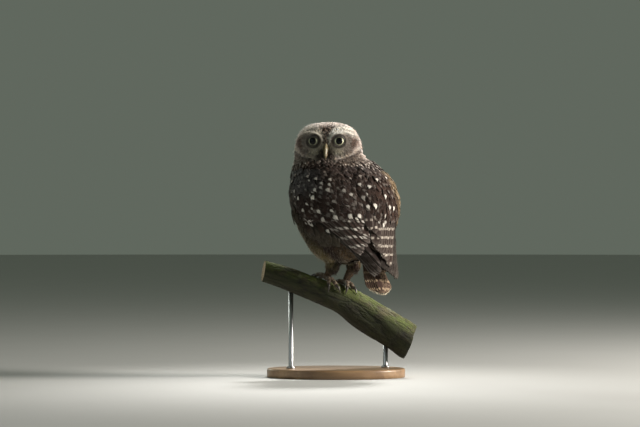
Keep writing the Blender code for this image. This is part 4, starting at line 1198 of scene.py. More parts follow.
def make_lids(material):
    """The rims of the lids round both eyes, the upper one a little lower over the eye, in one mesh."""
    rows, sides = 72, 12
    parts = []
    for way in (-1, 1):
        axes = frame_to(eye_axis(way))
        over = axes.T @ UP
        around = np.linspace(0, math.tau, rows, endpoint=False)
        high = np.cos(around - math.atan2(over[1], over[0]))
        inner = 5.45 - 1.75 * fade(high, 0.1, 1.0) - 0.05 * fade(-high, 0.3, 1.0)
        wide = 0.62 + 0.8 * fade(high, 0.1, 1.0)
        major = (inner + wide)[:, None]
        m, t = np.meshgrid(around, np.linspace(0, math.tau, sides, endpoint=False), indexing="ij")
        reach = major + np.cos(t) * wide[:, None]
        wrinkles = 0.12 * np.sin(m * 23)
        height = np.sqrt(np.maximum(EYE_RADIUS ** 2 - major ** 2, 0)) + 0.30 + np.sin(t) * 0.6 + wrinkles
        local = np.stack([reach * np.cos(m), reach * np.sin(m), height], axis=2)
        faces = grid_faces(rows + 1, sides, closed=True)
        faces = np.where(faces >= rows * sides, faces - rows * sides, faces)
        parts.append(new_object("lid", eye_centre(way) + local @ axes.T, faces, material))
    return show(join(parts, "eye_lids"), "eye")


def make_eye(way, side, depth, material):
    """An eyeball with the cornea's bulge, fine enough for its iris and pupil."""
    axes = frame_to(eye_axis(way))
    fall = np.concatenate([np.linspace(0.02, 0.95, 46), np.linspace(1.0, math.pi - 0.05, 26)])
    turns = np.linspace(0, math.tau, 72, endpoint=False)
    ahead = CORNEA_RISE + EYE_RADIUS - CORNEA_RADIUS
    inside = np.maximum(CORNEA_RADIUS ** 2 - ahead ** 2 * np.sin(fall) ** 2, 0.0)
    bulge = np.where(fall < 1.2, ahead * np.cos(fall) + np.sqrt(inside), 0.0)
    reach = np.maximum(EYE_RADIUS, bulge)
    radius, height = reach * np.sin(fall), reach * np.cos(fall)
    local = np.stack([
        radius[:, None] * np.cos(turns)[None],
        radius[:, None] * np.sin(turns)[None],
        height[:, None] * np.ones((1, len(turns))),
    ], axis=2)
    made = lathe_object(f"eye_{side}_ball", eye_centre(way) + local @ axes.T, material)
    places = (places_of(made) - eye_centre(way)) @ axes
    off = np.where(places[:, 2] > 0, np.hypot(places[:, 0], places[:, 1]), 9.0)
    over = axes.T @ UP
    turn = np.arctan2(places[:, 1], places[:, 0]) - math.atan2(over[1], over[0]) + math.pi / 2
    paint(made, "iris", np.stack([off, np.cos(turn) * 3.0, np.sin(turn) * 3.0], axis=1))
    paint(made, "depth", np.full(len(off), depth))
    return show(made, "eye", f"eye_{side}")


def bill_rings(upper, lower, widths, keel=0.0, steps=40, sides=28):
    """Cross sections of one half of the bill, between its two edge lines, in the head's own directions."""
    over, under = curve_points(upper, steps), curve_points(lower, steps)
    wide = smooth_table([(i, w) for i, w in enumerate(widths)])
    half = wide(np.linspace(0, len(widths) - 1, steps))[:, 0]
    middle, span = (over + under) / 2, over - under
    length = np.linalg.norm(span, axis=1)
    reach, ray = length / 2, span / np.maximum(length, 1e-6)[:, None]
    turns = np.linspace(0, math.tau, sides, endpoint=False)
    across, rise = (np.sign(x) * np.abs(x) ** (2 / BILL_POWER) for x in (np.cos(turns), np.sin(turns)))
    across = across * (1 - keel * np.clip(rise, 0, 1))
    side = half[:, None] * across[None]
    forward, up = (middle[:, i:i + 1] + ray[:, i:i + 1] * reach[:, None] * rise[None] for i in (0, 1))
    return np.stack([side, forward, up], axis=2)


def make_bill(material):
    """The two halves of the closed bill, with the nostrils pressed into the upper one."""
    local = bill_rings(CULMEN, TOMIUM, BILL_HALF_WIDTHS, keel=0.45)
    side, forward, up = np.moveaxis(local, 2, 0)
    upper = from_head(local)
    for way in (-1, 1):
        off = ((forward - NOSTRIL[0]) / 1.0) ** 2 + ((up - NOSTRIL[1]) / 0.8) ** 2
        near = np.exp(-off) * (side * way > 0)
        upper = upper - near[..., None] * way * 0.8 * HEAD_AXES[:, 0]
    edge = [(f - 0.1, u - 0.4) for f, u in TOMIUM[:5]]
    edge[-1] = (GONYS[-1][0] + 0.6, GONYS[-1][1] + 0.9)
    lower = from_head(bill_rings(edge, GONYS, LOWER_HALF_WIDTHS))
    for half, rings in (("upper", upper), ("lower", lower)):
        item = lathe_object(f"bill_{half}_horn", rings, material)
        paint(item, "head", to_head(places_of(item)))
        show(item, "bill_horn", f"bill_{half}")


def wing_cover(distance, height):
    """Where the long wing feathers lie over the body, from 0 to 1."""
    far = np.abs(distance)
    outer = 13.0 + np.clip(height - 4.0, 0, 200) * 0.87
    roots = 94.0 + (86.0 - far) * 0.26
    return fade(outer - far, -2.0, 4.0) * fade(roots - height, -2.0, 6.0)


def torso_rows(row_step, column_step):
    """Staggered places on the body: angle and height of each feather's root."""
    z = np.linspace(18.3, 131.0, 600)
    section = torso_at(z)
    reach = section[:, 2]
    arc = np.concatenate([[0.0], np.cumsum(np.hypot(np.diff(z), np.diff(reach)))])
    angles, heights = [], []
    for row, at in enumerate(np.arange(1.0, arc[-1], row_step)):
        height = np.interp(at, arc, z)
        around = max(6, int(math.tau * np.interp(height, z, reach) / column_step))
        angle = (np.arange(around) + 0.5 * (row % 2)) * math.tau / around - math.pi
        angles.append(angle + rng.normal(0, 0.16, around) * math.tau / around)
        heights.append(np.full(around, height) + rng.normal(0, 0.16, around) * row_step)
    return np.concatenate(angles), np.clip(np.concatenate(heights), 18.2, 131.0)


def body_flow(points):
    """The way that the feathers of the body lie: down, and towards the tail under the belly."""
    turn = math.radians(HIPS_DEG)
    rear = np.array((math.sin(turn), -math.cos(turn), 0.0))
    a, z = round_body(points), points[:, 2]
    angle = a / ROUND_RADIUS
    inward = -unit(torso_point(angle + 0.02, z) - torso_point(angle, z)) * np.sign(a)[:, None]
    on_pad = np.clip(pad_rise(a, z) / 3.0, 0, 1)
    return DOWN + rear * 0.35 + inward * (on_pad * 0.45)[:, None]


def under_covers(distance, height, low, high):
    """Where the covers hide the body's own feathers."""
    far = np.abs(distance)
    return (height > low) & (height < high - 0.06 * far) & (far < 80.0)


def make_body_plumes(ground, materials):
    """The feathers of the belly and the flanks, and those of the back that the covers leave free."""
    angle, height = torso_rows(3.0, 4.1)
    a = angle * ROUND_RADIUS
    surface = torso_point(angle, height, pad_rise(a, height) - 3.0)
    keep = (head_ratio(to_head(surface)) > 0.93) & ~under_covers(a, height, 62.0, 114.0)
    surface, a, height = surface[keep], a[keep], height[keep]
    roots, normals = ground.nearest(surface)
    colours = coat(roots)
    count, belly, on_ruff = len(roots), colours["belly"], fade(height, 110.0, 120.0)
    length = mix(11.0, 14.0, belly) * spread_of(0.10, count) * fade(height, 10.0, 40.0) ** 0.5
    width = mix(7.2, 6.4, belly) * spread_of(0.10, count)
    length, width = mix(length, 9.0, on_ruff), mix(width, 5.4, on_ruff)
    rise = mix(3.3, 0.7, wing_cover(a, height)) + rng.normal(0, 0.25, count)
    rise = np.where(height < 30.0, np.minimum(rise, 2.6), rise)

    looks = looks_of(colours, count)
    on_pad = np.clip(pad_rise(a, height) / 3.0, 0, 1) * (1 - on_ruff)
    side = np.where(a > 0, 0.8, 0.35 + 0.65 * fade(np.abs(a), 26.0, 40.0))
    looks["spot"][:, 0] = np.maximum(looks["spot"][:, 0], (rng.random(count) < 0.5) * on_pad * side)
    looks["size"][:, :2] *= (1 + 0.25 * on_pad)[:, None]

    sites = (roots, normals, body_flow(roots), length, width, rise)
    order = np.where(belly > 0.5, 0, np.where(np.abs(a) > 60, 1, 2))
    for index, (name, slot, material, loose, fringe) in enumerate((
        ("belly_plumes", "belly_down", "soft", 0.16, 0.0),
        ("flank_plumes", "belly_down", "plume", 0.1, 0.5),
        ("back_plumes", "back_feathers", "plume", 0.1, 0.8),
    )):
        chosen = order == index
        show(plumes(
            name, ground, chosen_of(sites, chosen), chosen_of(looks, chosen), body_home(roots[chosen]),
            materials[material], rows=7, loose=loose, fringe=fringe,
        ), slot)


# How far the coat's top lies over the wing surface, by height, and its share by distance from the mid line.
cover_level = smooth_table((
    (34.0, 2.4), (48.0, 3.8), (60.0, 5.2), (68.0, 6.6), (78.0, 7.8), (88.0, 8.0), (97.0, 7.0), (105.0, 5.2),
    (112.0, 3.6), (119.0, 2.4), (130.0, 1.6),
))
cover_edge = smooth_table((
    (0.0, 0.64), (8.0, 0.84), (18.0, 1.0), (48.0, 1.0), (62.0, 0.86), (76.0, 0.6), (88.0, 0.38), (98.0, 0.2),
))

# Where the photo shows the pale spots of the back, each (x, z, strength, size).
BACK_SPOTS = (
    (-37.6, 112.2, 0.95, 1.15), (-28.8, 110.0, 0.9, 1.1), (-23.1, 106.4, 0.8, 0.95),
    (-13.0, 109.4, 0.95, 1.15),
    (-28.6, 99.0, 0.85, 1.0), (-34.4, 94.6, 0.9, 0.8), (-28.6, 89.8, 1.0, 1.3), (-45.7, 89.8, 0.9, 1.0),
    (-35.6, 83.8, 0.85, 0.85), (-39.8, 75.4, 0.7, 0.85), (-22.1, 74.9, 0.8, 1.15), (-29.7, 78.1, 0.6, 0.7),
    (-55.5, 108.1, 0.75, 1.0), (-22.2, 101.4, 0.5, 0.8), (-14.3, 98.8, 0.6, 1.1), (2.2, 97.2, 0.5, 1.1),
    (11.0, 93.9, 0.45, 1.0), (-5.7, 86.1, 0.3, 1.0), (7.2, 81.4, 0.4, 1.0), (17.2, 82.7, 0.45, 0.8),
    (23.8, 92.1, 0.4, 1.2), (-17.9, 66.0, 0.6, 1.2), (-4.4, 68.6, 0.7, 1.3), (9.9, 69.0, 1.0, 1.2),
    (18.7, 70.7, 1.0, 1.0), (19.8, 114.2, 1.0, 1.25), (19.8, 105.6, 0.8, 1.3), (31.0, 103.4, 1.0, 1.2),
    (36.9, 82.9, 1.0, 1.35), (27.5, 82.9, 0.9, 1.0), (38.5, 110.9, 0.85, 1.2), (50.3, 82.9, 0.9, 1.0),
    (54.5, 82.2, 0.9, 0.9), (46.2, 93.5, 0.85, 1.2), (46.4, 74.8, 0.6, 0.8), (34.4, 70.1, 0.5, 0.9),
    (22.4, 122.8, 0.6, 1.0), (5.2, 119.5, 0.4, 0.8), (46.5, 61.8, 0.8, 1.1), (-51.0, 98.0, 0.5, 0.8),
)


def fore_edge(height):
    """How far round the body the front edge of a folded wing lies."""
    return 15.0 + (height - 4.0) * 0.878


def cover_length(height):
    """How long the covers are at a height."""
    return 11.0 + 5.2 * fade(height, 124.0, 100.0)


def cover_lean(distance):
    """How far a cover turns in to the mid line for each step down."""
    return 0.62 * fade(np.abs(distance), 3.0, 24.0) * np.sign(distance)


def cover_ground():
    """The surface that the covers lie on, just under the top of the coat."""
    a, z = np.meshgrid(np.linspace(-98.0, 98.0, 99), np.linspace(34.0, 130.0, 65), indexing="xy")
    level = cover_level(z)[..., 0] * cover_edge(np.abs(a))[..., 0]
    pad = pad_rise(a, z) - 0.4
    return ground_of_grid(carrier_point(a, z, np.logaddexp(level * 1.5, pad * 1.5) / 1.5 - 0.9))


def cover_places():
    """Staggered roots: over the shoulders and mantle, down the mid line, and along the wings' fore edges."""
    made = []

    def add(across, height, slope=0.0):
        made.append(np.stack([across, np.full(len(across), height) - slope * np.abs(across)], axis=1))

    for row, height in enumerate(np.arange(127.0, 79.0, -3.9)):
        add(np.arange(-92.0, 92.1, 5.4) + 2.7 * (row % 2), height, 0.06)
    for row, height in enumerate(np.arange(79.0, 44.0, -4.2)):
        add(np.arange(-7.0, 7.1, 4.6) + 2.3 * (row % 2), height)
    for row, height in enumerate(np.arange(84.0, 48.0, -3.6)):
        left, right = (
            fore_edge(height) + np.arange(first, 9.0, 4.6) + 2.3 * (row % 2)
            for first in (-3.0 if height > 64.0 else -12.2, -3.0)
        )
        add(np.concatenate([-left, right]), height)
    return np.concatenate(made)


def spotted_places():
    """Roots of the covers whose spots lie where the photo shows them, and the spots' strengths and sizes."""
    seen = np.arange(-98.0, 98.1, 0.4)
    places = []
    for x, height, _, _ in BACK_SPOTS:
        across = carrier_point(seen, np.full(len(seen), height), 6.0)
        near = np.where(across[:, 1] < torso_at(height)[1], np.abs(across[:, 0] - x), 1e9)
        place = seen[np.argmin(near)]
        ends = carrier_point(np.array((place, place)), np.array((height, height + 8.0)), 5.0)
        reach = SPOT_PLACE * cover_length(height + 10.0) * 8.0 / np.linalg.norm(ends[1] - ends[0])
        lean = cover_lean(place)
        slant = math.hypot(1, lean)
        places.append((place + lean * reach / slant, min(height + reach / slant, 127.5)))
    return np.array(places), np.array(BACK_SPOTS)[:, 2:]


def make_cover_plumes(materials):
    """The round spotted feathers over the shoulders, the mantle and the upper wings."""
    ground = cover_ground()
    places = cover_places()
    places = places + rng.normal(0, 0.75, places.shape)
    spotted, marks = spotted_places()
    clear = np.min(np.linalg.norm(places[:, None] - spotted[None], axis=2), axis=1) > 2.9
    places = np.concatenate([places[clear], spotted])
    plain = int(clear.sum())
    count = len(places)
    a, z = places.T
    roots, normals = ground.nearest(carrier_point(a, z, cover_level(z)[..., 0]))
    low = fade(z, 68.0, 60.0) * (a < 0)
    flank = fade(np.abs(a) - fore_edge(z) + 10.0 * low, -6.0, -2.0) * fade(z, 88.0, 82.0)
    inward = cover_lean(a) * (1 - 0.7 * flank)
    ahead = carrier_point(a - inward * 2.0, z - 2.0, 4.0) - carrier_point(a, z, 4.0)
    length = cover_length(z) * spread_of(0.07, count)
    width = (6.8 + 2.6 * fade(z, 124.0, 100.0)) * spread_of(0.08, count)
    rise = 0.8 + 2.2 * flank + rng.normal(0, 0.15, count)
    rise[plain:] += 0.35 + 1.2 * (marks[:, 1] - 0.9) + 2.0 * fade(z[plain:], 112.0, 122.0)

    looks = looks_of(coat(roots), count, vary=0.15)
    turned_away = carrier_point(a, z, 4.0)[:, 1] > torso_at(z)[:, 1] - 4.0
    bright = (rng.random(count) < np.where(turned_away, 0.34, 0.05)) * (0.6 + 0.4 * rng.random(count))
    dim = (rng.random(count) < 0.4) * 0.13
    strength, grow = np.maximum(bright, dim), spread_of(0.2, count)
    strength[plain:], grow[plain:] = marks[:, 0], marks[:, 1] * 1.18
    looks["spot"] = np.stack([strength, SPOT_PLACE + rng.normal(0, 0.012, count), np.zeros(count)], axis=1)
    looks["spot"][:plain, 0] *= 1 - 0.8 * flank[:plain]
    looks["size"] = np.stack([0.44 * grow, 0.15 * grow, np.full(count, 0.08)], axis=1)
    looks["trim"][:, 0], looks["trim"][:, 2] = 0.0, 0.55
    for colour, share in (
        (linear(50, 39, 34), 0.5 * (1 - flank)),
        (linear(80, 74, 63), 0.6 * flank * low),
        # Painted light: the covers at the owl's right edge are painted paler and warmer.
        (linear(172, 148, 112), 0.5 * fade(a, 46.0, 62.0) * (1 - flank)),
        # Painted sheen: a cool grey is painted over the upper covers on the owl's left.
        (linear(108, 108, 110), 0.3 * fade(-a, 26.0, 50.0) * fade(z, 96.0, 108.0)),
    ):
        looks["tone"] = mix(looks["tone"], colour, share)

    sites = (roots, normals, ahead, length, width, rise)
    loose_edge = (flank > 0.5) & (np.arange(count) < plain)
    for name, chosen, rows, columns in (
        ("wing_cover_plumes", ~loose_edge, 12, 9), ("wing_edge_plumes", loose_edge, 10, 7),
    ):
        show(plumes(
            name, ground, chosen_of(sites, chosen), chosen_of(looks, chosen), body_home(roots[chosen]),
            materials["plume"], rows=rows, columns=columns, loose=0.05, sink=1.3, camber=0.13, fringe=0.9,
        ), "back_feathers")


def head_flow(points):
    """The way that the feathers of the head lie: away from the bill and eyes, then back and down."""
    local = to_head(points)
    s, f, u = local.T
    flat = np.array((1.0, 0.0, 1.0))
    eye = np.stack([np.where(s > 0, EYE_SIDE, -EYE_SIDE), 0 * s, np.full_like(s, EYE_UP)], axis=1)
    from_eye = local * flat - eye
    by_eye = fade(np.linalg.norm(from_eye, axis=1), 17.0, 12.0)
    from_bill = unit((local - np.array((0.0, 22.0, 9.0))) * flat)
    back = np.stack([0.25 * s / HEAD_HALF_WIDTH, -1.0 + 0 * s, -0.15 - 0.9 * fade(u, 26.0, 2.0)], axis=1)
    front = fade(f, 2.0, 12.0)
    face = from_bill * (1 - by_eye)[:, None] + unit(from_eye) * by_eye[:, None]
    lower = fade(u, 0.0, -8.0)
    face = face * (1 - lower * 0.7)[:, None] + DOWN * (lower * 0.9)[:, None]
    face = face + np.array((0.0, -0.9, 0.0)) * fade(u, 22.0, 30.0)[:, None]
    return (back * (1 - front)[:, None] + face * front[:, None]) @ HEAD_AXES.T


def head_places(count):
    """Evenly spread directions from the head's centre."""
    i = np.arange(count) + 0.5
    up = 1 - 2 * i / count
    turn = i * math.pi * (3 - math.sqrt(5))
    flat = np.sqrt(1 - up ** 2)
    return np.stack([flat * np.cos(turn), flat * np.sin(turn), up], axis=1)


def outside_body(points, clear=-1.0):
    """Which points of the head aren't sunk in the body."""
    section = torso_at(points[:, 2])
    angle = round_body(points) / ROUND_RADIUS
    limit = section_point(section, angle, points[:, 2], clear)
    centre = section[:, :2]
    reach = np.linalg.norm(points[:, :2] - centre, axis=1)
    return (reach > np.linalg.norm(limit[:, :2] - centre, axis=1)) | (points[:, 2] > 141.0)


def make_head_plumes(ground, materials):
    """The small feathers of the face, and the longer ones of the crown and nape."""
    ways = head_places(13500)
    local = ways * head_reach(ways)[:, None]
    s, f, u = local.T
    away = eye_distance(local)
    on_face = fade(f, 6.0, 14.0) * fade(u, -7.0, -2.0) * fade(u, 33.0, 28.0)
    keep = (away > 8.4) | (f < 8.0)
    keep &= ~((np.abs(s) < 3.7) & (u > -6.5) & (u < 14.0) & (f > 18.0))
    keep &= rng.random(len(s)) < mix(0.17, mix(0.5, 1.0, fade(away, 14.0, 8.0)), on_face)
    points = from_head(local)
    keep &= outside_body(points)
    points, on_face = points[keep], on_face[keep]
    roots, normals = ground.nearest(points)
    near = np.linalg.norm(roots - points, axis=1) < 9.0
    roots, normals, on_face = roots[near], normals[near], on_face[near]

    local = to_head(roots)
    away, count = eye_distance(local), len(roots)
    small = on_face * fade(away, 16.0, 7.5)
    length = mix(mix(8.4, 4.8, on_face), 2.6, small) * spread_of(0.12, count)
    width = mix(mix(4.4, 2.3, on_face), 1.15, small) * spread_of(0.12, count)
    rise = np.maximum(coat_depth(roots) * mix(1.0, 0.85, on_face), 0.3) + fade(local[:, 2], 20.0, 30.0) * 0.9
    rise = np.where(away < 9.0, 0.6, rise + rng.normal(0, 0.16, count) * mix(1.0, 0.5, on_face))
    colours = coat(roots)
    looks = looks_of(colours, count, size=(0.4, 0.13), vary=0.22)
    brown = np.where((rng.random(count) < 0.66)[:, None], linear(54, 39, 32), linear(170, 150, 134))
    looks["tone"] = mix(looks["tone"], brown, colours["forehead"] * 0.9)

    sites = (roots, normals, head_flow(roots), length, width, rise)
    for name, chosen, columns, shape in (
        ("face_plumes", on_face > 0.5, 3, POINTED_SHAPE), ("crown_plumes", on_face <= 0.5, 5, PLUME_SHAPE),
    ):
        show(plumes(
            name, ground, chosen_of(sites, chosen), chosen_of(looks, chosen), head_home(roots[chosen]),
            materials["plume"], rows=5, columns=columns, shape=shape, loose=0.16, thick=0.12, sink=0.4,
        ), "head_feathers")


# Rows of a wing's long feathers, each (name, feathers, roots, tips, widths, lowest edges, bows, stations,
# columns). Places are (distance round the body, height), and each pair is for the first and last feather.
WING_ROWS = (
    ("primaries", 9, ((87.0, 86.0), (71.0, 93.5)), ((14.5, 4.5), (20.0, 26.0)),
     (9.5, 10.0), (1.6, 1.3), (12.0, 8.0), 30, 7),
    ("secondaries", 9, ((68.5, 94.0), (32.0, 104.0)), ((23.5, 30.0), (6.2, 48.0)),
     (11.5, 11.0), (2.2, 3.6), (5.0, 0.0), 26, 9),
    ("tertials", 4, ((26.0, 105.5), (12.0, 108.0)), ((14.5, 53.0), (5.8, 63.0)),
     (11.0, 9.0), (2.5, 4.4), (0.0, 0.0), 16, 7),
    ("primary_coverts", 6, ((88.5, 88.0), (78.0, 93.0)), ((63.0, 60.0), (56.0, 66.0)),
     (7.5, 8.0), (2.8, 3.6), (3.0, 2.0), 14, 7),
    ("greater_coverts", 10, ((86.0, 92.0), (20.0, 110.0)), ((71.0, 68.0), (8.0, 66.0)),
     (10.5, 11.0), (3.2, 4.6), (0.0, 0.0), 18, 9),
)
LONG_ROWS = ("primaries", "secondaries", "tertials")
LONG_SHAPE = smooth_table(((0.0, 0.5), (0.2, 0.85), (0.55, 1.0), (0.9, 0.96), (0.97, 0.80), (1.0, 0.5)))
COVERT_SHAPE = smooth_table(((0.0, 0.4), (0.2, 0.8), (0.55, 1.0), (0.8, 0.95), (0.94, 0.7), (1.0, 0.35)))
TAIL_SHAPE = smooth_table(((0.0, 0.5), (0.25, 0.85), (0.6, 1.0), (0.88, 0.95), (0.97, 0.7), (1.0, 0.4)))
WING_PITCH = 0.62
STEEPEST_TILT = 0.34
VANE_THICKNESS = 0.22
FEATHER_BUNCH = 1.25
# The height of one pale bar across the wing, and how far apart the bars are.
BAR_HEIGHT = 58.3
BAR_STEP = 9.3


def ends_of(pair, share):
    """Values between those of a row's first and last feather."""
    return mix(np.array(pair[0]), np.array(pair[1]), share)


def wing_tips(way, label, tips, share):
    """Where the feathers of a row end. The two wings aren't folded quite alike."""
    if label == "primaries":
        reach_in = mix(15.0, -5.0, share) if way > 0 else mix(16.0, 1.0, share)
        return np.stack([reach_in, 4.5 + 3.0 * (way < 0) + 10.0 * share ** 1.3], axis=1)
    if way > 0 and label == "secondaries":
        return ends_of(((3.0, 18.0), (-7.5, 41.0)), share)
    if way > 0 and label == "tertials":
        return ends_of(((3.0, 44.0), (-4.0, 57.0)), share)
    return ends_of(tips, share)


def wing_looks(way, label, middle, distance, length, z):
    """Colours of one row: pale bars across the long feathers, and a spot near the tip of each covert. The
    right wing's tone and pale marks are painted darker, as painted shade.
    """
    count = len(middle)
    looks = looks_of(coat(middle), count, vary=0.07)
    # Painted shade: the right wing's ground tone and pale marks are painted darker than the left wing's.
    tone = mix(looks["tone"], linear(56, 43, 38), 0.65) * (0.68 if way > 0 else 1.0)
    pale = linear(180, 170, 158) if way > 0 else linear(198, 191, 182)
    mark = np.clip(np.tile(pale, (count, 1)) * spread_of(0.05, (count, 1)), 0, BRIGHTEST)
    if label in LONG_ROWS:
        strong = 0.2 if label == "primaries" else 0.85
        patchy = strong * (0.45 + 0.55 * rng.random((count, 1, 1))) * fade(z, 74.0, 66.0)
        nearer = mix(0.5, 1.0, fade(distance, 70.0, 30.0))[:, None, None]
        phase = (z - BAR_HEIGHT) / BAR_STEP + rng.normal(0, 0.09, (count, 1, 1))
        looks["bars"] = np.stack([patchy * nearer, phase, np.full_like(z, 0.15)], axis=-1)
        looks["spot"][:, 0] = 0.0
        looks["size"][:, 2] = 0.12
        if label == "primaries":
            looks["size"][:2, 2] = 0.3
            tone, mark = tone * 0.42, mark * 0.45
    else:
        bright = 0.85 if way > 0 else 0.45 + 0.5 * fade(distance, 22.0, 45.0)
        bright = np.clip(bright + rng.normal(0, 0.16, count), 0, 1)
        if label == "greater_coverts":
            bright = bright * np.where(distance < 40.0, 0.3, 0.75)
        looks["spot"][:, 0] = bright * (rng.random(count) < 0.88)
        looks["spot"][:, 1] = 0.90 + rng.normal(0, 0.012, count)
        looks["spot"][:, 2] = 0.30
        looks["size"][:, 0] = 0.40 * spread_of(0.14, count)
        looks["size"][:, 1] = 2.3 / length * spread_of(0.14, count)
        looks["size"][:, 2] = 0.06
    looks["trim"][:, 0], looks["trim"][:, 2] = 0.0, 0.8
    return {**looks, "tone": tone, "mark": mark}


def make_wing_row(way, name, index, material):
    """One row of a folded wing's feathers, each with its outer edge over the last."""
    label, count, roots, tips, widths, lows, bows, rows, columns = WING_ROWS[index]
    share = np.arange(count) / (count - 1)
    root, tip = ends_of(roots, share), wing_tips(way, label, tips, share)
    tip = tip + rng.normal(0, 0.5 if label == "primaries" else 0.9, tip.shape)
    half, bow = ends_of(widths, share) / 2, ends_of(bows, share)
    run = tip - root
    length = np.linalg.norm(run, axis=1)
    aside = unit(np.stack([-run[:, 1], run[:, 0]], axis=1))
    aside = aside * np.sign(aside[:, 0:1])

    # The tilt that lets each feather's edge clear the one under it.
    steps = [abs((np.subtract(*end) * aside[count // 2]).sum()) / (count - 1) for end in (roots, tips)]
    tilts = [min(STEEPEST_TILT, WING_PITCH / step) for step in steps]
    on_pad = pad_rise(root[:, 0], root[:, 1]) - 1.4
    low_root = np.maximum(lows[0], np.minimum(lows[0] + tilts[0] * half, on_pad))
    low_tip = lows[1] + tilts[1] * half

    v, u = blade_grid(rows, columns, FEATHER_BUNCH)
    shape = LONG_SHAPE if label in LONG_ROWS else COVERT_SHAPE
    ragged = 1 + rng.normal(0, 0.035, (count, rows, columns)) * (np.abs(u) > 0.9)
    across = half[:, None, None] * u[None] * shape(v)[..., 0][None] * ragged
    blunt = (np.abs(u) ** 2.2 * fade(v, 0.8, 1.0))[None] * (2.4 / length)[:, None, None]
    along = v[None] - blunt + rng.normal(0, 0.006, (count, rows, columns)) * (v > 0.9)
    side = across - bow[:, None, None] * np.sin(math.pi * np.clip(along, 0, 1))
    spot = root[:, None, None] + run[:, None, None] * along[..., None]
    spot = spot + aside[:, None, None] * side[..., None]
    rise = mix(low_root[:, None, None], low_tip[:, None, None], along)
    tilt = tilts[0] + (tilts[1] - tilts[0]) * along
    vane = (1 - np.abs(u)) ** 0.8 * 0.35 + rng.normal(0, 0.05, (count, 1, 1))
    lift = fade(along, 0.7, 1.0) * (0.1 + rng.random((count, 1, 1)) * 0.35)
    out = rise + tilt * across + vane + lift
    if way > 0:
        out = out + 1.5 * fade(spot[..., 0], 12.0, 1.0) * fade(spot[..., 1], 84.0, 66.0)
    round_by, height = way * spot[..., 0], spot[..., 1]
    top, lower = (carrier_point(round_by, height, out - down) for down in (0.0, VANE_THICKNESS))

    middle = carrier_point(way * (root[:, 0] + run[:, 0] * 0.5), root[:, 1] + run[:, 1] * 0.5, lows[1])
    looks = wing_looks(way, label, middle, tip[:, 0], length, top[..., 2])
    home = np.stack([(np.arange(count) + 0.5) / 12.0, np.full(count, (index + 0.5) / len(WING_ROWS))], axis=1)
    patch = (0.07, 0.9 / len(WING_ROWS))
    return feather_object(f"{name}_{label}", top, lower, v, u, looks, home, patch, material, flip=way < 0)


def make_wing(way, side, material):
    """A folded wing; way is -1 on the left and 1 on the right."""
    name = f"wing_{side}_plumes"
    rows = [make_wing_row(way, name, index, material) for index in range(len(WING_ROWS))]
    show(join_fast(rows, name), "back_feathers", f"wing_{side}")


# The tail's rows, each (name, feathers, width, start and end as shares of the tail's length, how far each
# feather drops under the one nearer the middle, height over the tail, stations, shift aside, spread, margin).
TAIL_ROWS = (
    ("rectrices", 12, 10.0, 0.1, 1.0, 0.62, 1.4, 22, 0.0, 2.7, 0.3),
    ("tail_coverts", 9, 9.5, -0.02, 0.52, 0.45, 3.0, 12, 0.0, 1.9, 0.2),
    ("rump_plumes", 9, 9.0, -0.14, 0.56, 0.3, 2.6, 12, 9.5, 1.9, 0.2),
)
TAIL_COLUMNS = 7
TAIL_LENGTH = 54.0
TAIL_BAR_STEP = 9.5


def make_tail(material):
    """Twelve tail feathers in a narrow fan, the middle pair on top, and the coverts over their roots."""
    pieces = []
    for number, row in enumerate(TAIL_ROWS):
        label, count, width, start, end, pitch, base, rows, shift, spread, margin = row
        grid = (count, rows, TAIL_COLUMNS)
        rank = np.arange(count) - (count - 1) / 2
        drop = pitch * (np.abs(rank) - 0.5 * (count % 2 == 0)) + np.where(rank > 0, 0.3, 0.0)
        length = end * (1 - 0.012 * np.abs(rank) ** 1.4) + rng.normal(0, 0.008, count)
        rank, drop, length = (x[:, None, None] for x in (rank, drop, length))
        v, u = blade_grid(rows, TAIL_COLUMNS, FEATHER_BUNCH)
        ragged = 1 + rng.normal(0, 0.05, grid) * (np.abs(u) > 0.9)
        across = (width / 2) * u[None] * TAIL_SHAPE(v)[..., 0][None] * ragged
        blunt = (np.abs(u) ** 2.0 * fade(v, 0.8, 1.0) * 0.03)[None]
        along = v[None] - blunt + rng.normal(0, 0.008, grid) * (v > 0.9)
        side = shift + rank * (1 + (spread - 1) * along) + across
        out = base - drop - 0.02 * rank * across + (1 - np.abs(u)[None]) ** 0.8 * 0.35
        if label != "rectrices":
            out = out + 1.4 * np.sin(math.pi * np.clip(along, 0, 1))
        place = start + (length - start) * along
        top, lower = (tail_place(place, side, out - down) for down in (0.0, VANE_THICKNESS))

        looks = looks_of(coat(tail_place(np.full(count, 0.5), rank[:, 0, 0] * 2, 1.0)), count, vary=0.08)
        looks["tone"] = np.clip(linear(58, 42, 35) * spread_of(0.14, (count, 1)), 0, BRIGHTEST)
        looks["mark"] = np.tile(linear(160, 139, 114), (count, 1))
        phase = place * TAIL_LENGTH / TAIL_BAR_STEP + rng.normal(0, 0.07, (count, 1, 1))
        strength, wide = 0.75 * fade(place, 0.2, 0.35), np.full_like(place, 0.14)
        looks["bars"] = np.stack([strength, phase, wide], axis=-1)
        looks["spot"][:, 0] = 0.0
        looks["size"][:, 2] = margin
        looks["trim"][:, 0], looks["trim"][:, 2] = 0.0, 0.8
        home = np.stack([(np.arange(count) + 0.5) / 13, np.full(count, (number + 0.5) / 3)], axis=1)
        patch = (0.065, 0.3)
        pieces.append(feather_object(label, top, lower, v, u, looks, home, patch, material, flip=True))
    show(join_fast(pieces, "tail_plumes"), "tail_feathers", "tail")


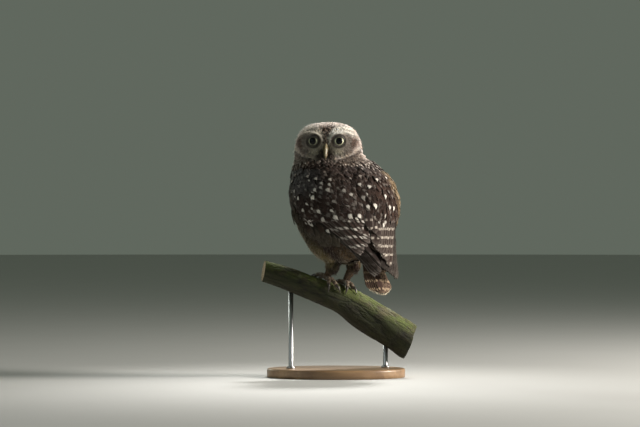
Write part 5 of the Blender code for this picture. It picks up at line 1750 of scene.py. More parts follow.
def eye_funnel(ground, axes, centre):
    """The hollow round one eye, as the skin has it: distances from its axis, its depths, and a ground."""
    ahead = axes[:, 2]
    spokes = ring_of(np.linspace(0, math.tau, EYE_SPOKES, endpoint=False)) @ axes.T
    reach = np.linspace(5.9, 10.6, EYE_STEPS)
    rise = np.zeros((EYE_STEPS, EYE_SPOKES))
    for step in range(EYE_STEPS - 1, -1, -1):
        for turn, spoke in enumerate(spokes):
            from_front = Vector(centre + ahead * 30.0 + spoke * reach[step])
            hit = ground.tree.ray_cast(from_front, Vector(-ahead))[0]
            low = rise[step + 1, turn] - 0.4 if step < EYE_STEPS - 1 else 3.0
            rise[step, turn] = max((np.array(hit) - centre) @ ahead if hit is not None else low, low)
    rise = np.clip(sum(np.roll(rise, k, axis=1) for k in range(-2, 3)) / 5 + 0.12, 3.0, 9.5)
    grid = centre + spokes[None] * reach[:, None, None] + ahead * rise[..., None]
    normals = unit(np.cross(np.roll(grid, -1, axis=1) - grid, np.gradient(grid, axis=0)))
    normals = normals * np.sign((normals @ ahead).mean())
    faces = [tuple(face) for face in grid_faces(EYE_STEPS, EYE_SPOKES, closed=True)]
    return reach, rise.mean(axis=1), Ground(grid.reshape(-1, 3), normals.reshape(-1, 3), faces)


def make_eye_rings(ground, materials):
    """Rings of the smallest feathers, from the lids' edges out over the rim of each eye's hollow."""
    parts = []
    for way in (-1, 1):
        axes, centre = frame_to(eye_axis(way)), eye_centre(way)
        ahead = axes[:, 2]
        reach, depth, funnel = eye_funnel(ground, axes, centre)
        places = []
        for row, radius in enumerate(np.arange(6.0, 9.6, 0.52)):
            count = int(math.tau * radius / 0.72)
            around = (np.arange(count) + 0.5 * (row % 2)) * math.tau / count + rng.normal(0, 0.03, count)
            far = radius + rng.normal(0, 0.1, count)
            spoke = ring_of(around) @ axes.T
            places.append(centre + spoke * far[:, None] + ahead * np.interp(far, reach, depth)[:, None])
        roots, normals = funnel.nearest(np.concatenate(places))
        outward = roots - centre
        outward = outward - (outward @ ahead)[:, None] * ahead
        away, count = np.linalg.norm(outward, axis=1), len(roots)
        looks = looks_of(coat(roots), count, vary=0.14)
        looks["tone"] = looks["tone"] * (1 - 0.75 * fade(away, 7.6, 6.2)[:, None])
        size = mix(1.0, 1.5, fade(away, 6.5, 9.5))
        flow = unit(outward) + DOWN * 0.25
        sites = (roots, normals, flow, 1.7 * size, 0.82 * size, 0.3 + rng.normal(0, 0.05, count))
        parts.append(plumes(
            "eye_ring", funnel, sites, looks, head_home(roots), materials["plume"],
            rows=5, columns=3, shape=POINTED_SHAPE, loose=0.16, thick=0.1, sink=0.25,
        ))
    show(join_fast(parts, "eye_ring_plumes"), "head_feathers")


def fills_by_eye(points):
    """Which places lie in the ring round an eye that the fill may take."""
    local = to_head(points)
    away = eye_distance(local)
    return (away > 8.3) & (away < 11.0) & (local[:, 1] > 19.5)


def fills_on_head(points):
    """Which places lie on the upper head, clear of the eyes."""
    local = to_head(points)
    clear_of_eye = (eye_distance(local) > 8.6) | (local[:, 1] < 9.0)
    return (head_ratio(local) < 1.12) & (points[:, 2] > 114.0) & clear_of_eye


def fills_on_body(points):
    """Which places on the body no cover or wing hides."""
    a, z = round_body(points), points[:, 2]
    bare = ~under_covers(a, z, 60.0, 110.0) & (wing_cover(a, z) < 0.6)
    return (z > 14.0) & (z < 134.0) & bare & ~(head_ratio(to_head(points)) < 0.97)


def make_fill(ground, materials):
    """Short feathers where the larger ones leave skin bare: on the collar, the brows, round eyes and bill."""
    tree = KDTree(sum(len(roots) for roots in PLANTED))
    for index, root in enumerate(np.concatenate(PLANTED)):
        tree.insert(root, index)
    tree.balance()
    made = []
    for name, zone, count, gap, length, width, rise in (
        ("eye_fill", fills_by_eye, 5000, 0.62, 1.9, 0.85, 0.32),
        ("head_fill", fills_on_head, 26000, 1.6, 4.2, 2.1, 1.1),
        ("body_fill", fills_on_body, 16000, 3.0, 8.0, 4.8, 2.7),
    ):
        places, normals = ground.spread(count, zone)
        alone = np.array([tree.find(place)[2] for place in places]) > gap * 0.9
        s, f, u = to_head(places).T
        if zone is fills_on_head:
            alone |= (np.abs(s) < 8.0) & (u < 2.0) & (u > -10.0) & (f > 18.0)
        alone &= ~((np.abs(s) < 3.2) & (u > -2.6) & (u < 13.5) & (f > 17.0))
        places, normals = places[alone], normals[alone]
        cells = np.floor(places / gap).astype(int)
        first = np.sort(np.unique(cells, axis=0, return_index=True)[1])
        places, normals = places[first], normals[first]

        total = len(places)
        looks = looks_of(coat(places), total, size=(0.4, 0.13), vary=0.18)
        reach = length * spread_of(0.12, total)
        lift = rise + rng.normal(0, 0.12 * rise, total)
        if zone is fills_by_eye:
            away = eye_distance(to_head(places))
            reach = reach * mix(0.8, 1.3, fade(away, 7.0, 10.0))
            lift = lift * mix(0.8, 1.8, fade(away, 7.5, 10.5))
        if zone is fills_on_body:
            flow, home = body_flow(places), body_home(places)
            form = {"rows": 7, "columns": 5, "shape": PLUME_SHAPE, "fringe": 0.6}
        else:
            flow, home = head_flow(places), head_home(places)
            form = {"rows": 5, "columns": 3, "shape": POINTED_SHAPE}
        sites = (places, normals, flow, reach, width * spread_of(0.1, total), lift)
        made.append(plumes(
            name, ground, sites, looks, home, materials["plume"], loose=0.14, thick=0.12, sink=0.4, **form,
        ))
    show(join_fast(made[:2], "face_fill_plumes"), "head_feathers")
    made[2].name = "ruff_fill_plumes"
    show(made[2], "back_feathers")


def make_fringe(materials):
    """The loose barbs round the rims of the larger feathers, and those that lie over their faces."""
    for name, store, stray, tint, start, length, vary, radius, sag in (
        ("cover_fringe", FRINGES, 0.16, 0.15, 0.6, 1.7, 0.2, 0.10, 0.1),
        ("cover_barbs", OVERLAY, 0.12, 0.0, 0.4, 2.1, 0.25, 0.09, 0.12),
    ):
        roots, ways, tones, homes = (np.concatenate(parts) for parts in zip(*store))
        count = len(roots)
        ways = unit(ways + rng.normal(0, stray, (count, 3)))
        if tint:
            tones = tones * spread_of(tint, (count, 1))
        show(barbs(
            name, roots - ways * start, ways, length * spread_of(vary, count), np.full(count, radius), sag,
            np.clip(tones, 0, BRIGHTEST), homes, materials["barb"], segments=2,
        ), "back_feathers")


def make_down(ground, materials):
    """Loose fluff on the belly, the flanks and the thighs, and at the tail's tip."""
    tufts = []

    def add(points, normals, flow, reach, lift, tone):
        count = len(points)
        lean = normals * (lift + rng.normal(0, 0.15, count))[:, None]
        way = unit(laid_on(flow, normals) + lean + rng.normal(0, 0.16, (count, 3)))
        length = reach * spread_of(0.18, count)
        tufts.append((points - normals * 0.3, way, length, tone, body_home(points)))

    angle, height = torso_rows(1.9, 2.4)
    a = angle * ROUND_RADIUS
    fluffy = fade(np.abs(a), 62.0, 88.0) + fade(height, 50.0, 30.0)
    keep = (rng.random(len(a)) < fluffy * 0.9) & (height < 112.0) & (wing_cover(a, height) < 0.3)
    points, normals = ground.nearest(torso_point(angle[keep], height[keep], -2.0))
    tone = np.clip(mix(coat(points)["tone"], linear(205, 196, 174), 0.5), 0, BRIGHTEST)
    add(points, normals, body_flow(points), 7.4, 0.34, tone)

    count = 420
    rank = rng.uniform(-1, 1, count) * 5.6
    rise = 1.2 - np.abs(rank) * 0.55 + rng.normal(0, 0.15, count)
    place = tail_place(0.985 - 0.012 * np.abs(rank) ** 1.4, rank * 2.7, rise)
    out = unit(tail_place(0.5, 0.0, 1.0) - tail_place(0.5, 0.0, 0.0)) * np.ones((count, 1))
    flow = unit(TAIL_TIP - TAIL_ROOT) + rng.normal(0, 0.14, (count, 3))
    tone = np.tile(linear(190, 180, 158), (count, 1)) * spread_of(0.15, (count, 1))
    add(place, out, flow, 2.2, 0.0, tone)

    count = 520
    for way in (-1, 1):
        ring = ring_of(rng.random(count) * math.tau)
        drop = rng.random(count)
        fat = 3.2 + 4.6 * (1 - drop) ** 0.8
        at = knee(way) + ring * fat[:, None] + UP * (6.0 - 11.0 * drop)[:, None]
        tone = mix(np.tile(linear(72, 58, 43), (count, 1)), linear(48, 36, 28), drop * 0.8)
        add(at, ring, DOWN + ring * 0.1, 5.2, 0.12, tone)

    roots, ways, length, tones, homes = (np.concatenate(parts) for parts in zip(*tufts))
    radius = np.full(len(roots), 0.16)
    show(barbs("down", roots, ways, length, radius, 0.22, tones, homes, materials["barb"]), "belly_down")


def make_head_barbs(ground, materials):
    """Loose down over the whole head, longer on the crown and at its left corner, short on the face."""
    ways = head_places(26000)
    local = ways * head_reach(ways)[:, None]
    s, f, u = local.T
    on_face = fade(f, 8.0, 15.0) * fade(u, -14.0, -8.0)
    dense = mix(mix(0.42, 1.0, fade(u, 16.0, 26.0)), 0.8, on_face)
    keep = ((eye_distance(local) > 7.0) | (f < 8.0)) & (rng.random(len(s)) < dense)
    keep &= ~((np.abs(s) < 3.2) & (u > -3.0) & (u < 14.0) & (f > 20.0))
    points = from_head(local)
    keep &= outside_body(points)
    on_face = on_face[keep]
    places, normals = ground.nearest(points[keep])

    colours, count, local = coat(places), len(places), to_head(places)
    crown = fade(local[:, 2], 20.0, 29.0) * (1 - colours["forehead"])
    lift = mix(mix(0.42, 0.34, on_face), 0.75, crown)
    flow = laid_on(unit(head_flow(places)), normals)
    way = unit(flow + normals * lift[:, None] + rng.normal(0, 0.14, (count, 3)))
    reach = mix(6.0, mix(2.2, 4.0, fade(eye_distance(local), 8.0, 15.0)), on_face) * spread_of(0.15, count)
    corner = fade(-local[:, 0], 9.0, 18.0) * fade(local[:, 2], 12.0, 20.0)
    reach = mix(reach, 6.2, crown) + 2.0 * corner
    # The barbs are paler off the face, and on the crown paler still, as a painted highlight of the light from
    # behind.
    tones = mix(colours["tone"], linear(218, 209, 201), np.maximum(0.3 * (1 - on_face), 0.55 * crown))
    tones = np.clip(tones * spread_of(0.22, (count, 1)), 0, BRIGHTEST)
    show(barbs(
        "head_barbs", places - normals * 0.2, way, reach, mix(0.13, 0.1, on_face), 0.16, tones,
        head_home(places), materials["barb"],
    ), "head_feathers")


def make_bill_bristles(materials):
    """The stiff bristles on both sides of the bill's root, which bend up."""
    count = 420
    side = rng.choice((-1.0, 1.0), count)
    up = rng.random(count) * 17.0 - 5.0
    aside = side * (2.9 + rng.random(count) * 1.6)
    base = from_head(np.stack([aside, 22.2 + 1.2 * fade(up, 12, 2), up], axis=1))
    flow = np.stack([
        side * (0.25 + 0.35 * rng.random(count)),
        0.75 + 0.3 * rng.random(count),
        -0.55 + 0.09 * up + rng.normal(0, 0.12, count),
    ], axis=1) @ HEAD_AXES.T
    tones = np.where((rng.random(count) < 0.18)[:, None], linear(150, 132, 104), linear(46, 36, 29))
    tones = np.clip(tones * spread_of(0.2, (count, 1)), 0, BRIGHTEST)
    show(barbs(
        "bill_bristles", base, flow, 5.2 * spread_of(0.18, count), np.full(count, 0.13), -0.25, tones,
        head_home(base), materials["barb"],
    ), "head_feathers")


def toe_route(foot, swing_deg, way):
    """A straight line on the unrolled branch from a foot, as a function of distance and clearance."""
    x0, aside = foot
    _, axis, _, far = perch_frame(x0)
    start = aside / float(perch_radius(x0, 0.0))
    hips, swing = math.radians(HIPS_DEG), math.radians(-swing_deg * way)
    c, s = math.cos(swing), math.sin(swing)
    heading = np.array((-math.sin(hips) * c - math.cos(hips) * s, -math.sin(hips) * s + math.cos(hips) * c))
    run, across = heading @ unit(axis[:2]), heading @ unit(far[:2])
    rolled = float(perch_radius(x0, start)) + TOE_ROOT_RADIUS

    def spot(distance, out):
        return perch_point(x0 + distance * run * axis[0], start + distance * across / rolled, out)

    return spot


def ankle(foot):
    """The point where a shank comes down on its foot."""
    x0, aside = foot
    return perch_point(np.array(x0), np.array(aside / float(perch_radius(x0, 0.0))), 5.2)


def toe_radius(share):
    """How thick a toe is along its length."""
    return TOE_ROOT_RADIUS + (TOE_TIP_RADIUS - TOE_ROOT_RADIUS) * share


def toe_middle(spot, length, share, radius):
    """Points of a toe's centre line, which arches over the branch between its root and its tip."""
    return spot(1.0 + (length - 1.0) * share, radius + TOE_CLEARANCE + TOE_ARCH * np.sin(math.pi * share))


def make_foot(foot, way, side, materials):
    """The toes, sole and shank in one skin, with pads and knuckles, and the claws."""
    parts = []
    base = ankle(foot)
    leg_way = unit(knee(way) - base)
    lean = (0.3, -0.5, 1.0)
    for number, swing, length in TOES:
        spot = toe_route(foot, swing, way)
        s = np.linspace(0, 1, 40)
        knuckles = 1.0 + 0.13 * np.cos(2.5 * math.tau * s) + 0.05 * np.cos(5 * math.tau * s + 1.0)
        radius = toe_radius(s) * knuckles
        path = toe_middle(spot, length, s, radius)
        parts.append(lathe_object("toe", tube_rings(path, radius, 18, lean), PLAIN))
        s = np.linspace(0, 1, 26)
        radius = 1.75 * (1 - s) ** 0.8 + 0.12
        hump = 1.6 * np.sin(math.pi * np.minimum(1.0, s * 1.25)) * (1 - s)
        clear = TOE_CLEARANCE + TOE_TIP_RADIUS * (1 - s) + radius * s + hump
        path = spot(length - 0.8 + (CLAW_LENGTH + 0.8) * s, clear + 0.12)
        sides = 14
        claw = tube_rings(path, radius, sides, lean)
        claw = lathe_object(f"claw_{side}_{number}_horn", claw, materials["claw"])
        rings = len(s) + 2 * len(DOME_ANGLES)
        paint(claw, "share", np.interp(np.arange(len(claw.data.vertices)), (0, sides * rings), (0, 1)))
        show(claw, "claw_horn", f"claw_{side}_{number}")
    sole = ellipsoid_rings(base - UP * 1.4, (4.2, 4.2, 3.4), frame_to(leg_way))
    parts.append(lathe_object("sole", sole, PLAIN))
    start, top = base - leg_way * 1.0, knee(way)
    s = np.linspace(0, 1, 30)
    radius = np.interp(s, SHANK_SHARES, SHANK_RADII)
    shank = tube_rings(start + (top - start) * s[:, None], radius, 24, lean)
    parts.append(lathe_object("shank", shank, PLAIN))
    name = f"leg_{side}_skin"
    foot_skin = remesh(join(parts, name), 0.36, 3)
    foot_skin.name = foot_skin.data.name = name
    foot_skin.data.materials.clear()
    foot_skin.data.materials.append(materials["leg"])
    show(foot_skin, "leg_skin", f"foot_{side}", f"shank_{side}")


def make_leg_bristles(materials):
    """Short stiff feathers down the shanks, finer and sparser along the tops of the toes."""
    tufts = []
    for way, foot in zip((-1, 1), FEET_PLACES):
        base, top = ankle(foot), knee(way)
        run = unit(top - base)
        count = 1500
        s = rng.random(count)
        ring = ring_of(rng.random(count) * math.tau) @ frame_to(run).T
        radius = np.interp(s, SHANK_SHARES, (2.7, 2.8, 3.0, 3.6, 4.5))
        roots = base + (top - base) * s[:, None] + ring * radius[:, None]
        ways = -run + ring * 0.34 + rng.normal(0, 0.12, (count, 3))
        pale = (rng.random(count) < mix(0.4, 0.65, s))[:, None]
        tones = np.where(pale, linear(112, 92, 68), linear(58, 43, 32)) * spread_of(0.15, (count, 1))
        tufts.append((roots, ways, mix(2.2, 4.2, s), tones))
        count = 170
        for _, swing, length in TOES:
            spot = toe_route(foot, swing, way)
            s = rng.random(count) * 0.9
            radius, along = toe_radius(s), 1.0 + (length - 1.0) * s
            near, far = (spot(along + step, radius + TOE_CLEARANCE) for step in (-0.5, 0.5))
            ahead = unit(far - near)
            above = unit(spot(along, radius + 3.0) - spot(along, radius))
            turn = rng.normal(0, 0.75, count)[:, None]
            ring = above * np.cos(turn) + np.cross(ahead, above) * np.sin(turn)
            roots = toe_middle(spot, length, s, radius) + ring * (radius * 0.96)[:, None]
            ways = ahead + ring * 0.3 + rng.normal(0, 0.1, (count, 3))
            pale = (rng.random(count) < 0.5)[:, None]
            tones = np.where(pale, linear(176, 160, 132), linear(96, 76, 60))
            tufts.append((roots, ways, np.full(count, 1.7), tones))
    roots, ways, reach, tones = (np.concatenate(parts) for parts in zip(*tufts))
    reach, radius = reach * spread_of(0.16, len(roots)), np.full(len(roots), 0.15)
    tones = np.clip(tones, 0, BRIGHTEST)
    show(barbs(
        "leg_bristles", roots, ways, reach, radius, 0.08, tones, body_home(roots), materials["barb"],
    ), "leg_skin")


def bark_relief(x, around, half):
    """How far the bark stands out and how deep its cracks are, at places along and round the branch."""
    out, crack = np.zeros(x.shape), np.zeros(x.shape)
    for at in np.ndindex(x.shape):
        turn, girth = around[at], half[at]
        place = Vector((x[at] * 0.028, math.cos(turn) * girth * 0.11, math.sin(turn) * girth * 0.11))
        ridged = 1 - abs(noise.noise(place * 1.6)) * 2.4
        fine = 1 - abs(noise.noise(place * 4.2 + Vector((7, 3, 1)))) * 2.2
        lump = noise.noise(place * 2.6 + Vector((2, 9, 4)))
        crack[at] = max(ridged, 0.0) ** 5 * 0.7 + max(fine, 0.0) ** 6 * 0.4
        out[at] = 0.25 * lump - 1.1 * crack[at]
    return out, crack


def make_perch(material):
    """The cut branch, its bark in long cracked plates with pits and lumps, and its sawn ends."""
    rows, columns, cap_rows = 430, 150, 12
    first, last = PERCH_LINE[0][0], PERCH_LINE[-1][0]
    turns = np.linspace(0, math.tau, columns, endpoint=False)
    x, around = np.meshgrid(np.linspace(first, last, rows), turns, indexing="ij")
    out, crack = bark_relief(x, around, perch_at(x)[..., 1])
    ends = fade(np.minimum(x - first, last - x), 0.0, 2.0)
    shell = perch_point(x, around, np.clip(out + 0.12, -1.4, 0.42) - (1 - ends) * 0.35)

    # The sawn ends: rings that shrink to the middle, with their share of the radius for the wood's rings.
    shares = np.linspace(0.965, 0.06, cap_rows)
    middles = [row.mean(axis=0) for row in (shell[0], shell[-1])]
    caps = [at + (row - at) * shares[:, None, None] for at, row in zip(middles, (shell[0], shell[-1]))]
    item = lathe_object("perch_bark", np.concatenate([caps[0][::-1], shell, caps[1]]), material)
    bark = np.stack([x, around * 16.0, crack], axis=2)
    wood = np.stack([0 * x, np.cos(around), 0 * x], axis=2)
    sawn = np.stack([shares, 0 * shares, 1 + 0 * shares], axis=1)[:, None] * np.ones((1, columns, 1))
    blank = np.zeros((cap_rows, columns, 3))
    pith = ((0.03, 0, 1), (0.03, 0, 1))
    bark = np.concatenate([blank, bark, blank]).reshape(-1, 3)
    wood = np.concatenate([sawn[::-1], wood, sawn]).reshape(-1, 3)
    paint(item, "bark", np.concatenate([bark, np.zeros((2, 3))]))
    paint(item, "wood", np.concatenate([wood, pith]))
    show(item, "weathered_wood", "perch_branch")


def make_stand(materials):
    """The oval base with its rounded edge, and the two rods, each with a small collar on the base."""
    turns = np.linspace(0, math.tau, 160, endpoint=False)
    profile = [(0.0, 0.9), (0.25, 0.6), (0.6, 0.0), (4.0, 0.0), (7.0, 0.0)]
    profile += [
        (BASE_HEIGHT - BASE_BEVEL + BASE_BEVEL * math.sin(t), BASE_BEVEL - BASE_BEVEL * math.cos(t))
        for t in np.linspace(0.1, math.pi / 2, 12)
    ]
    profile += [(BASE_HEIGHT, inset) for inset in (6.0, 14.0, 26.0, 40.0, 50.0)]
    rings = np.array([
        ring_of(turns) * (BASE_HALF_LENGTH - inset, BASE_HALF_DEPTH - inset, 0.0) + UP * z
        for z, inset in profile
    ])
    base = lathe_object("stand_base_wood", rings, materials["base"], at=np.zeros(3))
    show(base, "base_wood", "stand_base")
    turns = np.linspace(0, math.tau, 48, endpoint=False)
    collar = ROD_RADIUS * 1.9
    for x, side in zip(ROD_X, ("left", "right")):
        centre = perch_frame(np.array(x))[0] * (1, 1, 0)
        low = BASE_HEIGHT + 0.05 - FEET[2]
        under = min(perch_point(np.array(x + dx), np.array(math.pi))[2] for dx in (-3.0, 0.0, 3.0))
        profile = (
            (0.0, collar - 0.25), (0.25, collar), (1.7, collar), (2.0, collar - 0.3),
            (2.1, ROD_RADIUS + 0.6), (2.5, ROD_RADIUS + 0.15), (3.0, ROD_RADIUS),
            (under + ROD_GRIP - low, ROD_RADIUS),
        )
        rings = np.array([centre + ring_of(turns) * radius + UP * (low + rise) for rise, radius in profile])
        rod = lathe_object(f"stand_rod_{side}_steel", rings, materials["steel"])
        show(rod, "rod_steel", f"stand_rod_{side}")


def skin_material():
    """Mottled down, with the coat's pale spots as faint dots."""
    g = Graph("owl_skin_down", 0.85)
    shade = g.plus(g.times(g.noise(260.0, 4.0), 0.9), 0.55)
    cells = g.voronoi(120.0)
    dots = g.times(g.band(cells, 0.25, 0.4, 1.0, 0.0), g.stored("spots", "Fac"))
    colour = g.blend(dots, g.stored("tone", "Color"), g.stored("mark", "Color"))
    g.set("Base Color", g.scaled(colour, shade))
    g.bump(g.noise(900.0, 4.0), 0.5, 0.0004)
    return g.material


def lid_material():
    g = Graph("eye_lid_skin", 0.5)
    ramp = g.blend(g.noise(500.0, 4.0), (0.020, 0.016, 0.014, 1), (0.075, 0.062, 0.052, 1))
    g.set("Base Color", ramp)
    g.bump(g.noise(1800.0, 4.0), 0.5, 0.0002)
    return g.material


def eye_material():
    """A black pupil and a pale yellow iris with fibres, darker at its edge, with the upper lid's shadow
    painted over its top and each eye's painted shade.
    """
    g = Graph("owl_eye", 0.28, Coat_Weight=0.5, Coat_Roughness=0.03, Coat_IOR=1.33, Specular_IOR_Level=0.04)
    off, cosine, sine = g.parts(g.stored("iris"))
    fibres = g.noise(5.5, 6.0, 0.7, g.joined(cosine, sine, g.times(off, 0.16)))
    inner = PUPIL_RADIUS - 0.1
    pale = g.blend(fibres, (0.62, 0.60, 0.38, 1), (0.93, 0.93, 0.70, 1))
    deep = g.blend(g.band(off, inner, PUPIL_RADIUS + 0.35), (0.14, 0.12, 0.05, 1), pale)
    edge = g.blend(g.band(off, IRIS_RADIUS - 0.5, IRIS_RADIUS), deep, (0.05, 0.045, 0.02, 1))
    # Painted shadow of the upper lid over the iris's top, times the eye's own painted shade factor.
    edge = g.scaled(edge, g.times(g.band(sine, 0.6, 2.6, 1.0, 0.12), g.stored("depth", "Fac")))
    soft = g.plus(off, g.times(g.minus(fibres, 0.5), 0.12))
    g.set("Base Color", g.blend(g.band(soft, inner, PUPIL_RADIUS + 0.08), (0.002, 0.002, 0.003, 1), edge))
    g.set("Roughness", g.band(off, inner, PUPIL_RADIUS + 0.2, 0.08, 0.32))
    g.bump(fibres, 0.15, 0.00008)
    return g.material


def bill_material():
    """Layered horn, with a painted highlight along its ridge, a dark tip and dark nostrils."""
    g = Graph("bill_horn", 0.38, Subsurface_Weight=0.15, Subsurface_Scale=0.001)
    side, forward, up = g.parts(g.stored("head"))
    layers = g.noise(1.4, 6.0, 0.65, g.joined(g.times(side, 0.9), forward, g.times(up, 0.22)))
    colour = g.blend(layers, (0.085, 0.064, 0.027, 1), (0.155, 0.12, 0.058, 1))
    # Painted highlight: the bill's ridge is painted paler.
    ridge_painted_highlight = g.band(g.plus(g.math("ABSOLUTE", side), g.times(layers, 0.6)), 0.6, 2.4, 1.0, 0.0)
    uneven_up = g.plus(up, g.times(layers, 2.0))
    hole = g.distance(g.minus(up, NOSTRIL[1]), g.minus(forward, NOSTRIL[0]))
    for share, paint_colour in (
        (g.times(ridge_painted_highlight, 0.8), (0.26, 0.212, 0.112, 1)),
        (g.times(g.band(uneven_up, 11.5, 15.0), 0.6), (0.20, 0.16, 0.11, 1)),
        (g.times(g.band(uneven_up, 4.4, -1.6), 0.9), (0.075, 0.052, 0.022, 1)),
        (g.band(hole, 0.5, 0.95, 0.92, 0.0), (0.012, 0.010, 0.008, 1)),
    ):
        colour = g.blend(share, colour, paint_colour)
    g.set("Base Color", colour)
    g.set("Roughness", g.band(layers, 0.3, 0.7, 0.3, 0.5))
    g.bump(layers, 0.35, 0.00035)
    return g.material


def leg_material():
    """Small scales on brown skin."""
    g = Graph("leg_skin", 0.62)
    scales = g.band(g.voronoi(950.0, feature="DISTANCE_TO_EDGE"), 0.0, 0.10)
    tone = g.blend(g.noise(220.0, 4.0), (0.07, 0.046, 0.029, 1), (0.15, 0.11, 0.075, 1))
    g.set("Base Color", g.scaled(tone, g.plus(g.times(scales, 0.45), 0.6)))
    g.bump(scales, 0.6, 0.00025)
    return g.material


# An eyeball with the cornea's bulge, fine enough for its iris and pupil. depth scales its iris's colour:
# painted shade below 1, painted light above 1.
def claw_material():
    g = Graph("claw_horn", 0.3)
    streaks = g.noise(40.0, 5.0, 0.6, g.stretched((14.0, 14.0, 60.0)))
    g.set("Base Color", g.blend(streaks, (0.012, 0.010, 0.009, 1), (0.075, 0.058, 0.045, 1)))
    g.set("Roughness", g.band(streaks, 0.2, 0.8, 0.22, 0.42))
    g.bump(streaks, 0.25, 0.0002)
    return g.material


def bark_material():
    """Dark cracked bark under moss, with pale lichen on top, a painted lighter top and painted shade under
    it, darker in its cracks, and wood with rings where it is sawn.
    """
    g = Graph("weathered_wood", 0.9)
    place = g.stored("bark")
    _, _, crack = g.parts(place)
    radius, top, cut = g.parts(g.stored("wood"))
    grainy = g.noise(1.0, 6.0, 0.62, g.stretched((0.09, 0.42, 0.0), place))
    grain = g.noise(1.0, 8.0, 0.7, g.stretched((0.16, 1.9, 0.0), place))
    lichen = g.noise(62.0, 7.0, 0.68)
    bark = g.blend(g.band(grainy, 0.35, 0.68), (0.020, 0.018, 0.006, 1), (0.075, 0.066, 0.024, 1))
    bark = g.blend(g.band(grain, 0.45, 0.75, 0.0, 0.5), bark, (0.13, 0.118, 0.055, 1))
    # depth is a painted shade factor for this eye's iris, not a depth.
    moss_share = g.times(g.band(lichen, 0.38, 0.58), g.band(top, -0.7, 0.5, 0.45, 1.0))
    moss = g.blend(g.noise(420.0, 5.0), (0.016, 0.028, 0.002, 1), (0.105, 0.135, 0.018, 1))
    colour = g.blend(g.times(moss_share, 0.82), bark, moss)
    pale = g.band(g.noise(34.0, 5.0, 0.6), 0.60, 0.70, 0.0, 0.5)
    colour = g.blend(g.times(pale, g.band(top, 0.0, 0.8)), colour, (0.30, 0.31, 0.20, 1))
    # The bark is darker in its cracks: partly the cracks' own darker colour, partly painted shade.
    colour = g.scaled(colour, g.minus(1.05, g.times(crack, 0.8)))
    # Painted light and shade: the branch's top is painted lighter and its underside much darker.
    colour = g.scaled(colour, g.band(top, 0.0, 0.85, 0.34, 1.2))
    rings = g.math("SINE", g.times(g.plus(radius, g.times(g.noise(60.0, 3.0), 0.08)), 74.0))
    wood = g.blend(g.band(rings, -1.0, 1.0), (0.22, 0.15, 0.085, 1), (0.42, 0.32, 0.20, 1))
    wood = g.scaled(wood, g.plus(g.noise(300.0, 4.0), 0.5))
    g.set("Base Color", g.blend(cut, colour, wood))
    height = g.plus(g.plus(grain, g.times(g.noise(900.0, 5.0), 0.6)), g.times(moss_share, 0.5))
    g.bump(height, 0.7, 0.0007)
    return g.material


def base_material():
    g = Graph("base_wood", 0.42, Coat_Weight=0.25, Coat_Roughness=0.25)
    grain = g.noise(1.0, 8.0, 0.62, g.stretched((9.0, 150.0, 60.0)), distortion=0.6)
    broad = g.noise(1.0, 4.0, 0.5, g.stretched((4.0, 34.0, 20.0)), distortion=1.2)
    tone = g.blend(g.band(broad, 0.3, 0.7), (0.20, 0.115, 0.055, 1), (0.36, 0.225, 0.115, 1))
    tone = g.blend(g.band(grain, 0.45, 0.75, 0.0, 0.65), tone, (0.12, 0.062, 0.028, 1))
    g.set("Base Color", tone)
    g.set("Roughness", g.band(grain, 0.3, 0.7, 0.36, 0.5))
    g.bump(grain, 0.18, 0.0002)
    return g.material


def steel_material():
    g = Graph("rod_steel", 0.3, Metallic=1.0)
    brushed = g.noise(1.0, 6.0, 0.6, g.stretched((900.0, 900.0, 14.0)))
    g.set("Base Color", g.blend(brushed, (0.36, 0.36, 0.37, 1), (0.58, 0.58, 0.59, 1)))
    g.set("Roughness", g.band(brushed, 0.2, 0.8, 0.22, 0.38))
    g.bump(brushed, 0.12, 0.00005)
    return g.material


def floor_material():
    g = Graph("floor_pale", 0.9)
    g.set("Base Color", g.blend(g.noise(9.0, 3.0), (0.50, 0.50, 0.485, 1), (0.53, 0.53, 0.515, 1)))
    return g.material


def add_object(name, data, place, aim=None):
    """Puts a lamp or a camera in the scene, turned to a target."""
    made = bpy.data.objects.new(name, data)
    bpy.context.scene.collection.objects.link(made)
    made.location = place
    if aim is not None:
        made.rotation_euler = (Vector(aim) - Vector(place)).to_track_quat("-Z", "Y").to_euler()
    return made


def area_light(name, place, aim, size, power, colour):
    lamp = bpy.data.lights.new(name, "AREA")
    lamp.shape = "DISK"
    lamp.size, lamp.energy, lamp.color = size, power, colour
    add_object(name, lamp, place, aim)


def spot_light(name, place, aim, size, power, colour):
    lamp = bpy.data.lights.new(name, "SPOT")
    lamp.spot_size = math.radians(17)
    lamp.spot_blend = 1.0
    lamp.shadow_soft_size, lamp.energy, lamp.color = size, power, colour
    add_object(name, lamp, place, aim)


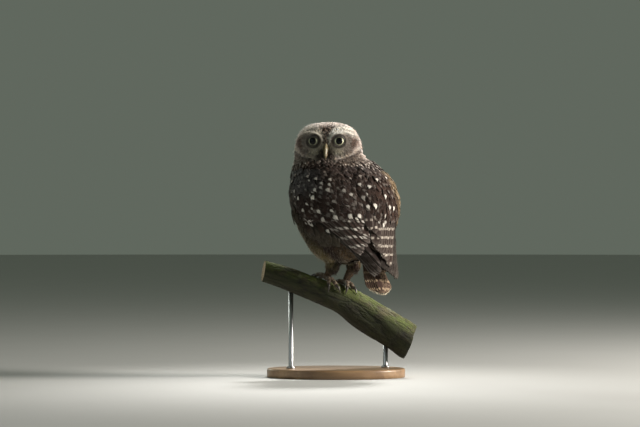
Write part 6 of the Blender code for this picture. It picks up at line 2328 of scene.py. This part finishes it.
def set_up_view():
    """The pale floor, the soft lights and the camera at the photo's viewing angle. Places are in metres."""
    scene = bpy.context.scene
    scene.view_settings.view_transform = "Standard"
    rim = ring_of(np.linspace(0, math.tau, 64, endpoint=False)) * 9000.0
    floor = new_object("floor", rim, [list(range(64))], floor_material(), at=np.zeros(3), smooth=False)
    world = bpy.data.worlds.new("studio")
    world.use_nodes = True
    back = world.node_tree.nodes["Background"]
    back.inputs["Color"].default_value = (0.118, 0.138, 0.112, 1)
    back.inputs["Strength"].default_value = 1.0
    scene.world = world

    middle, high = (0.0, 0.0, 0.17), (0.0, 0.0, 0.21)
    spot_light("key", (0.24, 0.92, 1.5), high, 0.22, 235.0, (1.0, 0.98, 0.95))
    spot_light("rim_right", (1.22, 0.5, 0.5), high, 0.22, 52.0, (1.0, 0.91, 0.74))
    spot_light("rim_left", (-0.95, 1.1, 0.75), high, 0.22, 44.0, (0.93, 1.0, 0.90))
    area_light("front_right", (1.55, -0.24, 0.7), middle, 0.6, 50.0, (1.0, 0.94, 0.88))
    area_light("front_left", (-1.1, -1.0, 0.6), middle, 1.0, 1.9, (0.88, 0.95, 1.0))

    camera = bpy.data.cameras.new("photo_view")
    camera.lens = 153.4
    camera.sensor_width = 36.0
    camera.clip_end = 50.0
    scene.camera = add_object("photo_view", camera, (-0.0176, -3.0, 0.17995))
    scene.camera.rotation_euler = (math.pi / 2, 0.0, 0.0)


def main():
    """Builds every piece. The order matters, because all of them draw from one row of random numbers."""
    down_look = {"Sheen_Weight": 0.12, "Sheen_Roughness": 0.5, "Specular_IOR_Level": 0.15}
    barb_look = {"Sheen_Weight": 0.1, "Sheen_Roughness": 0.5, "Specular_IOR_Level": 0.2}
    materials = {
        "plume": feather_material("feather_plumes", 0.85, 150.0, 0.4, Specular_IOR_Level=0.08),
        "soft": feather_material("feather_down", 0.85, 90.0, 0.22, **down_look),
        "vane": feather_material("feather_vanes", 0.8, 150.0, 0.25, Specular_IOR_Level=0.12),
        "barb": barb_material("feather_barbs", **barb_look),
        "leg": leg_material(),
        "claw": claw_material(),
        "base": base_material(),
        "steel": steel_material(),
    }
    ground = ground_of(make_skin(skin_material()))
    make_lids(lid_material())
    eye = eye_material()
    # Each eye's painted shade: the right eye's iris is painted darker than the left eye's.
    make_eye(-1, "right", 0.72, eye)
    make_eye(1, "left", 1.06, eye)
    make_bill(bill_material())
    make_body_plumes(ground, materials)
    make_cover_plumes(materials)
    make_head_plumes(ground, materials)
    make_wing(-1, "left", materials["vane"])
    make_wing(1, "right", materials["vane"])
    make_tail(materials["vane"])
    make_eye_rings(ground, materials)
    make_fill(ground, materials)
    make_fringe(materials)
    make_down(ground, materials)
    make_head_barbs(ground, materials)
    make_bill_bristles(materials)
    make_foot(FEET_PLACES[0], -1, "left", materials)
    make_foot(FEET_PLACES[1], 1, "right", materials)
    make_leg_bristles(materials)
    make_perch(bark_material())
    make_stand(materials)
    set_up_view()


main()
